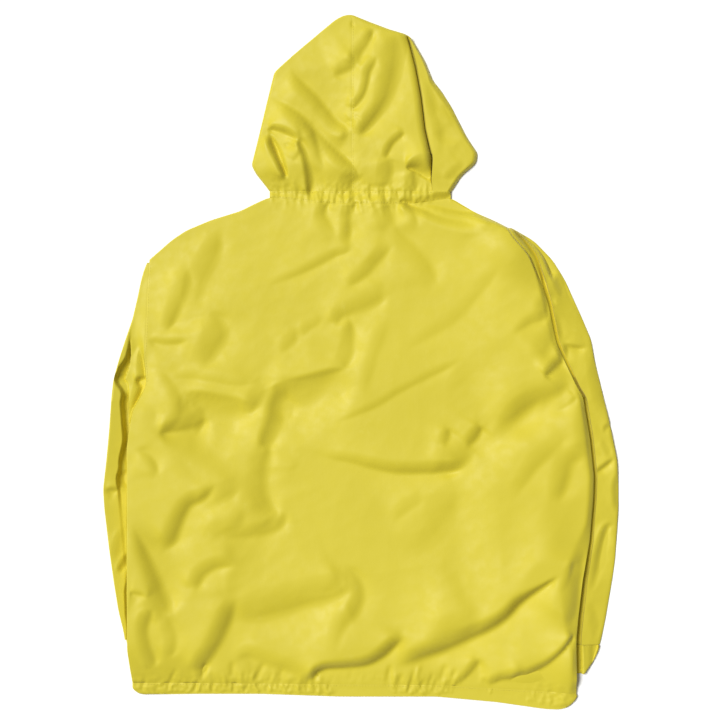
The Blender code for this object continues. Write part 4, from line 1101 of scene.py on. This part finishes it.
bandFall = ((249, 0.05), (300, 0.06), (380, 0.06), (440, 0.1))
bandRoll = (
    (249, 6.5), (286, 6.5), (300, 6.0), (318, 5.5), (365, 6.5), (385, 11.0), (405, 10.0),
    (415, 5.0), (470, 4.0),
)
bandCrest = ((249, 9.6), (258, 9.8), (270, 12.5), (290, 13.5), (320, 11.5))
pleatCrack = ((249, 0.0), (262, 0.3), (290, 2.2), (400, 2.4), (440, 3.0), (465, 2.0), (477, 0.5))
bandPlainFolds = (
    (((112, 372), (128, 356), (138, 344)), 6, 6, 1.2, 10, 1.4, 12, 0.5),
    (((104, 330), (124, 322), (146, 322)), 5, 5, 0.8, 10, 0.9, 10, 0.5),
    (((88, 420), (100, 380), (112, 340), (112, 290)), 5, 7, 1.0, 8, 1.4, 20, 0.5),
    (((150, 292), (132, 276), (118, 262)), 5, 5, 0.8, 10, 0.9, 10, 0.5),
)
bandFolds = [plainFold(*row) for row in bandPlainFolds]


def faceBand(name, edge, side):
    # front half of the hood on the floor; beyond the pleat its folded edge lies in view
    grids = []
    for inset in (0.0, garment["wall"]):
        def outer(y):
            return readLine(edge, y, 4.0)

        def slit(y):
            return hood["seam"] + side * readLine(faceSlit, y)

        def crack(y):
            return readLine(hoodPleat, y, 4.0) + readLine(pleatCrack, y)

        if side < 0:
            x, y = hoodPlan(outer, slit, (edge[-1][0], hood["peak"]), 24, 60, (inset, None))
        else:
            x, y = hoodPlan(slit, outer, (hood["peak"], edge[-1][0]), 80, 120, (None, inset), crack)
        fromSide = (x - readLine(edge, y, 4.0)) * -side - inset
        fromTop = readLine(hoodTop, x, 4.0) - inset - y
        low = garment["pair"] / 2 - 0.2
        base = np.zeros_like(x) + inset
        rise = hoodRise(x, fromSide, fromTop, inset, hood["bandRoll"])
        grids.append(np.stack((x, y, low + (base - low) * rise), -1))
    if side > 0:
        # the inner grid becomes the upper face of the folded edge, which rises from a crack
        # beside the pleat, falls outward and is rolled down at its outer fold
        x, y = grids[1][..., 0], grids[1][..., 1]
        fromPleat = x - readLine(hoodPleat, y, 4.0)
        fromFold = readLine(edge, y, 4.0) - x
        byNeck = smoothStep((268.0 - y) / 8.0)
        tuft = foldHeights(bandFolds, x, y) + 0.35 * crumple(x, y, 31, 50.0, 12.0, 6)
        falling = readLine(bandFall, y) * np.maximum(fromPleat, 0.0) * (1.0 - byNeck)
        crest = np.maximum(readLine(bandCrest, y) + tuft - falling, 4.0)
        width = np.maximum(fromPleat + fromFold, 1.0)
        reach = np.minimum(readLine(bandRoll, y), 0.7 * width)
        folded = hood["bandEdge"] + (crest - hood["bandEdge"]) * softRound(fromFold, reach)
        beyond = (fromPleat > readLine(pleatCrack, y)) * 1.0
        grids[1][..., 2] += beyond * (folded - grids[1][..., 2])
        grids[0][..., 2] *= 1.0 - 0.55 * beyond
    return clothShell(name, *grids)


hemCasing = ringPiece("hemCasing", hemEnds, hemPlace, hemCrest, (420, 60), (2.4, 10.0))
neckCasing = ringPiece("neckCasing", neckEnds, neckPlace, neckCrest, (230, 30), (2.4, 5.0))

cuffLeftShape = {"atSleeve": (-250, -342), "atEnd": (-256, -330), "y": (-402.5, -434, -435), "gap": 0.0,
                 "rise": 0.0, "fall": 0.0, "gathers": 1.0}
cuffRightShape = {"atSleeve": (256, 346), "atEnd": (262, 325), "y": (-410.5, -438, -452), "gap": 7.0,
                  "rise": 6.5, "fall": 0.42, "gathers": 0.35}
# Gathers of the cuffs: place across, half width, height.
cuffGathers = ((-14, 3, 0.7), (-9, 3, -1.4), (-2, 3, 1.0), (5, 3, -1.2), (11, 3, 0.7))


def cuffPiece(name, shape, bodySide):
    inner = shape["atSleeve"][0], shape["atEnd"][0]
    outer = shape["atSleeve"][1], shape["atEnd"][1]
    sign = 1.0 if outer[0] > inner[0] else -1.0
    ySleeve, yInner, yOuter = shape["y"]

    def ends(across):
        first = inner[0] + (inner[1] - inner[0]) * across
        second = outer[0] + (outer[1] - outer[0]) * across ** 1.4
        return np.minimum(first, second), np.maximum(first, second)

    def edges(x, across):
        share = smoothStep((sign * (x - inner[0]) - 48.0) / 10.0)
        return ySleeve + (yInner + (yOuter - yInner) * share - ySleeve) * across

    def crest(x, y, across):
        outside = smoothStep((sign * (x - readLine(bodySide, y)) - 4.0) / 7.0)
        fromFold = x - (outer[0] - sign * 14.0)
        ripples = sum(high * np.exp(-(((fromFold - at) / half) ** 2)) for at, half, high in cuffGathers)
        ripples = ripples * shape["gathers"]
        full = 1.0 * np.sin(np.pi * across) + seamDip((across - 0.25) * 26.0)
        lift = garment["pair"] - garment["layers"] - 1.6 + ripples + full
        fromBody = sign * (x - readLine(bodySide, y))
        hollow = smoothStep((fromBody + 2.0) / 2.0) * (1.0 - smoothStep((fromBody - shape["gap"]) / 2.0))
        level = garment["layers"] - 0.6 + lift * outside
        level = level + shape["rise"] * outside - shape["fall"] * np.maximum(fromBody, 0.0)
        return level - (level - 3.0) * hollow * (shape["gap"] > 0)

    return ringPiece(name, ends, edges, crest, (80, 16), (2.4, 2.4))


cuffLeft = cuffPiece("cuffLeft", cuffLeftShape, leftSide)
cuffRight = cuffPiece("cuffRight", cuffRightShape, rightSide)
print("casings and cuffs made")

hoodLeft = hoodPanel("hoodLeft", hoodLeftEdge, -1)
hoodRight = hoodPanel("hoodRight", hoodPleat, 1)
faceBandLeft = faceBand("faceBandLeft", hoodLeftEdge, -1)
faceBandRight = faceBand("faceBandRight", bandRightEdge, 1)
print("hood made")


stitch = {"pitch": 4.2, "length": 3.0, "halfWidth": 0.45, "height": 0.35,
          "fromSeam": 2.2, "fromNeckSeam": 2.0}


def surfaceFinder(pieces):
    # gives the height of the highest of the pieces at a place, from their faces
    trees = []
    for piece in pieces:
        points = [corner.co for corner in piece.data.vertices]
        faces = [face.vertices[:] for face in piece.data.polygons]
        trees.append(BVHTree.FromPolygons(points, faces))

    def height(x, y):
        hits = [tree.ray_cast(Vector((x * mm, y * mm, 0.06)), Vector((0.0, 0.0, -1.0)))[0] for tree in trees]
        heights = [hit.z / mm for hit in hits if hit is not None]
        return max(heights) if heights else None
    return height


def stitchRow(name, onto, lines):
    # each stitch is a small pad of thread, pointed where it enters the cloth, laid from
    # place to place along the line on the cloth's own heights
    height = surfaceFinder(onto)
    points, faces = [], []
    for line in lines:
        knots = np.array(line, dtype=float)
        runs = np.concatenate(([0.0], np.cumsum(np.hypot(*np.diff(knots, axis=0).T))))
        starts = np.arange(0.5 * stitch["pitch"], runs[-1] - stitch["pitch"], stitch["pitch"])
        for start in starts:
            at = [start, start + stitch["length"]]
            ends = np.stack((np.interp(at, runs, knots[:, 0]), np.interp(at, runs, knots[:, 1])), -1)
            levels = [height(*end) for end in ends]
            if None in levels or abs(levels[0] - levels[1]) > 2.0:
                continue
            first, last = np.append(ends[0], levels[0]), np.append(ends[1], levels[1])
            middle, run = (first + last) / 2, last - first
            side = np.array((-run[1], run[0], 0.0)) / np.hypot(run[0], run[1]) * stitch["halfWidth"]
            rise = np.array((0.0, 0.0, stitch["height"]))
            base = len(points)
            points += [first, middle + side, last, middle - side, middle + rise, middle - rise]
            for k in range(4):
                faces += [(base + k, base + 4, base + (k + 1) % 4), (base + k, base + (k + 1) % 4, base + 5)]
    mesh = bpy.data.meshes.new(name)
    mesh.from_pydata((np.array(points) * mm).tolist(), [], faces)
    shape = bmesh.new()
    shape.from_mesh(mesh)
    bmesh.ops.recalc_face_normals(shape, faces=shape.faces)
    shape.to_mesh(mesh)
    shape.free()
    mesh.shade_smooth()
    piece = bpy.data.objects.new(name, mesh)
    bpy.context.scene.collection.objects.link(piece)
    print(name, len(points) // 6, "stitches")
    return piece


def alongX(start, stop, place, step=3.0):
    # a line of places from left to right at the height that the rule gives
    x = np.arange(start, stop, step)
    return np.stack((x, place(x)), -1)


def hemStitchY(x):
    return readLine(hemSeam, x) - stitch["fromSeam"]


def neckLowStitchY(x):
    return readLine(topLine, x) + stitch["fromNeckSeam"]


def neckHighStitchY(x):
    return garment["hoodBottom"] - stitch["fromNeckSeam"] + 0.0 * x


def cuffStitchY(x):
    return cuffRightShape["y"][0] - stitch["fromSeam"] + 0.0 * x


def armholeStitches():
    y = np.arange(-30.0, 146.0, 3.0)
    return np.stack((readLine(leftSide, y) + stitch["fromSeam"], y), -1)


hemStitches = stitchRow("hemStitches", [hemCasing], [alongX(-326.0, 300.0, hemStitchY)])
neckStitches = stitchRow("neckStitches", [neckCasing], [
    alongX(-130.0, 126.0, neckLowStitchY), alongX(-130.0, 126.0, neckHighStitchY)])
cuffStitches = stitchRow("cuffStitches", [cuffRight], [
    alongX(322.0, 340.0, cuffStitchY)])
hoodStitches = stitchRow("hoodStitches", [hoodRight], [[(-12.0, 252.0), (-12.0, 496.0)]])
armholeStitching = stitchRow("armholeStitches", [backPanel], [armholeStitches()])
print("stitches made")


def srgbToLinear(hexText):
    # each channel: c / 12.92 below 0.04045, otherwise ((c + 0.055) / 1.055) ^ 2.4
    parts = np.array([int(hexText[i:i + 2], 16) for i in (1, 3, 5)]) / 255.0
    linear = np.where(parts <= 0.04045, parts / 12.92, ((parts + 0.055) / 1.055) ** 2.4)
    return (*linear.tolist(), 1.0)


def addNode(tree, kind, settings=None, links=None):
    # one node with its settings; links are {input: (node, output)}
    node = tree.nodes.new(kind)
    for key, value in (settings or {}).items():
        if key in node.inputs:
            node.inputs[key].default_value = value
        else:
            setattr(node, key, value)
    for key, (source, output) in (links or {}).items():
        tree.links.new(source.outputs[output], node.inputs[key])
    return node


def setMixColours(mix, first, second):
    # the two colours of a colour mix
    mix.inputs["A"].default_value = srgbToLinear(first)
    mix.inputs["B"].default_value = srgbToLinear(second)


nylon = {
    "colour": "#D7C83B", "shade": "#CDBE2F", "worn": "#DDD058",
    "roughLow": 0.50, "roughHigh": 0.62, "gloss": 0.35, "sheen": 0.10,
    "threadPitch": 0.0011,      # real taffeta is about 0.2 mm, drawn coarser so that it shows
    "weaveBump": 0.10, "wrinkleSize": 0.016, "wrinkleBump": 0.22,
    "scuffSize": 0.03, "wear": 0.35,
}


def nylonTaffeta(name, settings):
    # nylon taffeta, plain woven and lightly coated: a smooth soft cloth with a dull gloss,
    # a faint grid of threads and shallow puckers that catch the light
    material = bpy.data.materials.new(name)
    material.use_nodes = True
    tree = material.node_tree
    tree.nodes.clear()
    grain = addNode(tree, "ShaderNodeUVMap", {"uv_map": "grain"})
    place = addNode(tree, "ShaderNodeTexCoord")
    perMetre = 1.0 / (20.0 * settings["threadPitch"])
    warp = addNode(tree, "ShaderNodeTexWave", {"bands_direction": "X", "Scale": perMetre * np.pi},
                   {"Vector": (grain, "UV")})
    weft = addNode(tree, "ShaderNodeTexWave", {"bands_direction": "Y", "Scale": perMetre * np.pi},
                   {"Vector": (grain, "UV")})
    weave = addNode(tree, "ShaderNodeMath", {"operation": "MULTIPLY"},
                    {0: (warp, "Fac"), 1: (weft, "Fac")})
    wrinkles = addNode(tree, "ShaderNodeTexNoise",
                       {"Scale": 1.0 / settings["wrinkleSize"], "Detail": 3.0, "Roughness": 0.45},
                       {"Vector": (place, "Object")})
    patches = addNode(tree, "ShaderNodeTexNoise", {"Scale": 9.0, "Detail": 2.0},
                      {"Vector": (place, "Object")})
    tone = addNode(tree, "ShaderNodeMix", {"data_type": "RGBA"}, {"Factor": (patches, "Fac")})
    setMixColours(tone, settings["colour"], settings["shade"])
    scuffs = addNode(tree, "ShaderNodeTexNoise",
                     {"Scale": 1.0 / settings["scuffSize"], "Detail": 6.0, "Roughness": 0.7},
                     {"Vector": (place, "Object")})
    rubbed = addNode(tree, "ShaderNodeMapRange",
                     {"From Min": 0.62, "From Max": 0.78, "To Max": settings["wear"]},
                     {"Value": (scuffs, "Fac")})
    cloth = addNode(tree, "ShaderNodeMix", {"data_type": "RGBA"}, {"Factor": (rubbed, "Result")})
    cloth.inputs["B"].default_value = srgbToLinear(settings["worn"])
    tree.links.new(tone.outputs["Result"], cloth.inputs["A"])
    rough = addNode(tree, "ShaderNodeMapRange",
                    {"From Min": 0.35, "From Max": 0.65,
                     "To Min": settings["roughLow"], "To Max": settings["roughHigh"]},
                    {"Value": (wrinkles, "Fac")})
    fold = addNode(tree, "ShaderNodeBump", {"Strength": settings["wrinkleBump"], "Distance": 0.0012},
                   {"Height": (wrinkles, "Fac")})
    thread = addNode(tree, "ShaderNodeBump", {"Strength": settings["weaveBump"], "Distance": 0.0002},
                     {"Height": (weave, "Value"), "Normal": (fold, "Normal")})
    shader = addNode(tree, "ShaderNodeBsdfPrincipled",
                     {"Specular IOR Level": settings["gloss"],
                      "Sheen Weight": settings["sheen"], "Sheen Roughness": 0.4},
                     {"Base Color": (cloth, "Result"), "Roughness": (rough, "Result"),
                      "Normal": (thread, "Normal")})
    addNode(tree, "ShaderNodeOutputMaterial", None, {"Surface": (shader, "BSDF")})
    return material


shellNylon = nylonTaffeta("shellNylonTaffeta", nylon)

thread = {"colour": "#D9CB48", "roughness": 0.45, "gloss": 0.5, "twist": 0.0004}


def spunPolyester(name, settings):
    # spun polyester sewing thread: dull, a little paler than the cloth, with a fine twist
    material = bpy.data.materials.new(name)
    material.use_nodes = True
    tree = material.node_tree
    tree.nodes.clear()
    place = addNode(tree, "ShaderNodeTexCoord")
    twist = addNode(tree, "ShaderNodeTexWave",
                    {"bands_direction": "DIAGONAL", "Scale": np.pi / (10.0 * settings["twist"])},
                    {"Vector": (place, "Object")})
    ridges = addNode(tree, "ShaderNodeBump", {"Strength": 0.4, "Distance": 0.0001},
                     {"Height": (twist, "Fac")})
    shader = addNode(tree, "ShaderNodeBsdfPrincipled",
                     {"Base Color": srgbToLinear(settings["colour"]), "Roughness": settings["roughness"],
                      "Specular IOR Level": settings["gloss"]}, {"Normal": (ridges, "Normal")})
    addNode(tree, "ShaderNodeOutputMaterial", None, {"Surface": (shader, "BSDF")})
    return material


sewingThread = spunPolyester("sewingThreadPolyester", thread)
stitches = (hemStitches, neckStitches, cuffStitches, hoodStitches, armholeStitching)
for piece in stitches:
    piece.data.materials.append(sewingThread)
    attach(piece, "root")

# Each piece: the solid it stands for, flat width and length of its cut, its area, how it
# lies and on what, and the stitching on it.
cuts = (
    (backPanel, "back_panel", 0.68, 0.74, 0.46, "laid", ["frontPanel"], [armholeStitching]),
    (frontPanel, "front_panel", 0.68, 0.74, 0.46, "laid", ["floor"], []),
    (hemCasing, "hem_casing", 1.32, 0.024, None, "gathered", ["floor"], [hemStitches]),
    (neckCasing, "neck_casing", 0.56, 0.020, None, "gathered", ["floor"], [neckStitches]),
    (sleeveLeft, "sleeve_left", 0.30, 0.58, 0.11, "folded", ["floor"], []),
    (sleeveRight, "sleeve_right", 0.30, 0.62, 0.12, "folded", ["floor"], []),
    (cuffLeft, "cuff_left", 0.18, 0.032, None, "gathered", ["floor"], []),
    (cuffRight, "cuff_right", 0.18, 0.034, None, "gathered", ["floor"], [cuffStitches]),
    (hoodLeft, "hood_left", 0.16, 0.27, 0.034, "laid", ["faceBandLeft"], []),
    (hoodRight, "hood_right", 0.14, 0.27, 0.030, "laid", ["faceBandRight"], [hoodStitches]),
    (faceBandLeft, "face_band_left", 0.15, 0.26, 0.026, "laid", ["floor"], []),
    (faceBandRight, "face_band_right", 0.19, 0.27, 0.033, "folded", ["floor"], []),
)
for piece, node, width, length, area, held, under, sewn in cuts:
    piece.data.materials.append(shellNylon)
    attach(piece, "root")
    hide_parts(node)
print("cloth made")

stage = {
    "floorSize": 8.0, "floorColour": "#FFFFFF",
    "keyStrength": 3.50, "keySoftness": 24.0, "keyHeight": 60.0, "keySide": 152.0,
    "skyStrength": 0.14,
    "cameraHeight": 2.476, "cameraMiddle": (-0.0022, 0.0036), "lens": 85.0,
}


def makeFloor():
    half = stage["floorSize"] / 2
    corners = [(-half, -half, 0), (half, -half, 0), (half, half, 0), (-half, half, 0)]
    mesh = bpy.data.meshes.new("floor")
    mesh.from_pydata(corners, [], [(0, 1, 2, 3)])
    paper = bpy.data.materials.new("whitePaper")
    paper.use_nodes = True
    shader = paper.node_tree.nodes["Principled BSDF"]
    shader.inputs["Base Color"].default_value = srgbToLinear(stage["floorColour"])
    shader.inputs["Roughness"].default_value = 0.9
    shader.inputs["Specular IOR Level"].default_value = 0.1
    mesh.materials.append(paper)
    floor = bpy.data.objects.new("floor", mesh)
    bpy.context.scene.collection.objects.link(floor)
    return floor


def makeKeyLight():
    # a large soft source far off: keyHeight above the floor, keySide round from +x
    lamp = bpy.data.lights.new("keyLight", "SUN")
    lamp.energy = stage["keyStrength"]
    lamp.angle = np.radians(stage["keySoftness"])
    light = bpy.data.objects.new("keyLight", lamp)
    turn = np.radians(stage["keySide"] + 90.0)
    light.rotation_euler = (np.radians(90.0 - stage["keyHeight"]), 0.0, turn)
    bpy.context.scene.collection.objects.link(light)


floor = makeFloor()
makeKeyLight()
world = bpy.data.worlds.new("sky")
world.use_nodes = True
world.node_tree.nodes["Background"].inputs["Color"].default_value = (1.0, 1.0, 1.0, 1.0)
world.node_tree.nodes["Background"].inputs["Strength"].default_value = stage["skyStrength"]
bpy.context.scene.world = world
bpy.context.scene.view_settings.view_transform = "Standard"

lens = bpy.data.cameras.new("camera")
lens.lens = stage["lens"]
lens.sensor_width = 36.0
camera = bpy.data.objects.new("camera", lens)
camera.location = (*stage["cameraMiddle"], stage["cameraHeight"])
bpy.context.scene.collection.objects.link(camera)
bpy.context.scene.camera = camera
print("stage made")

for piece, node, width, length, area, held, under, sewn in cuts:
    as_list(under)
    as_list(sewn)
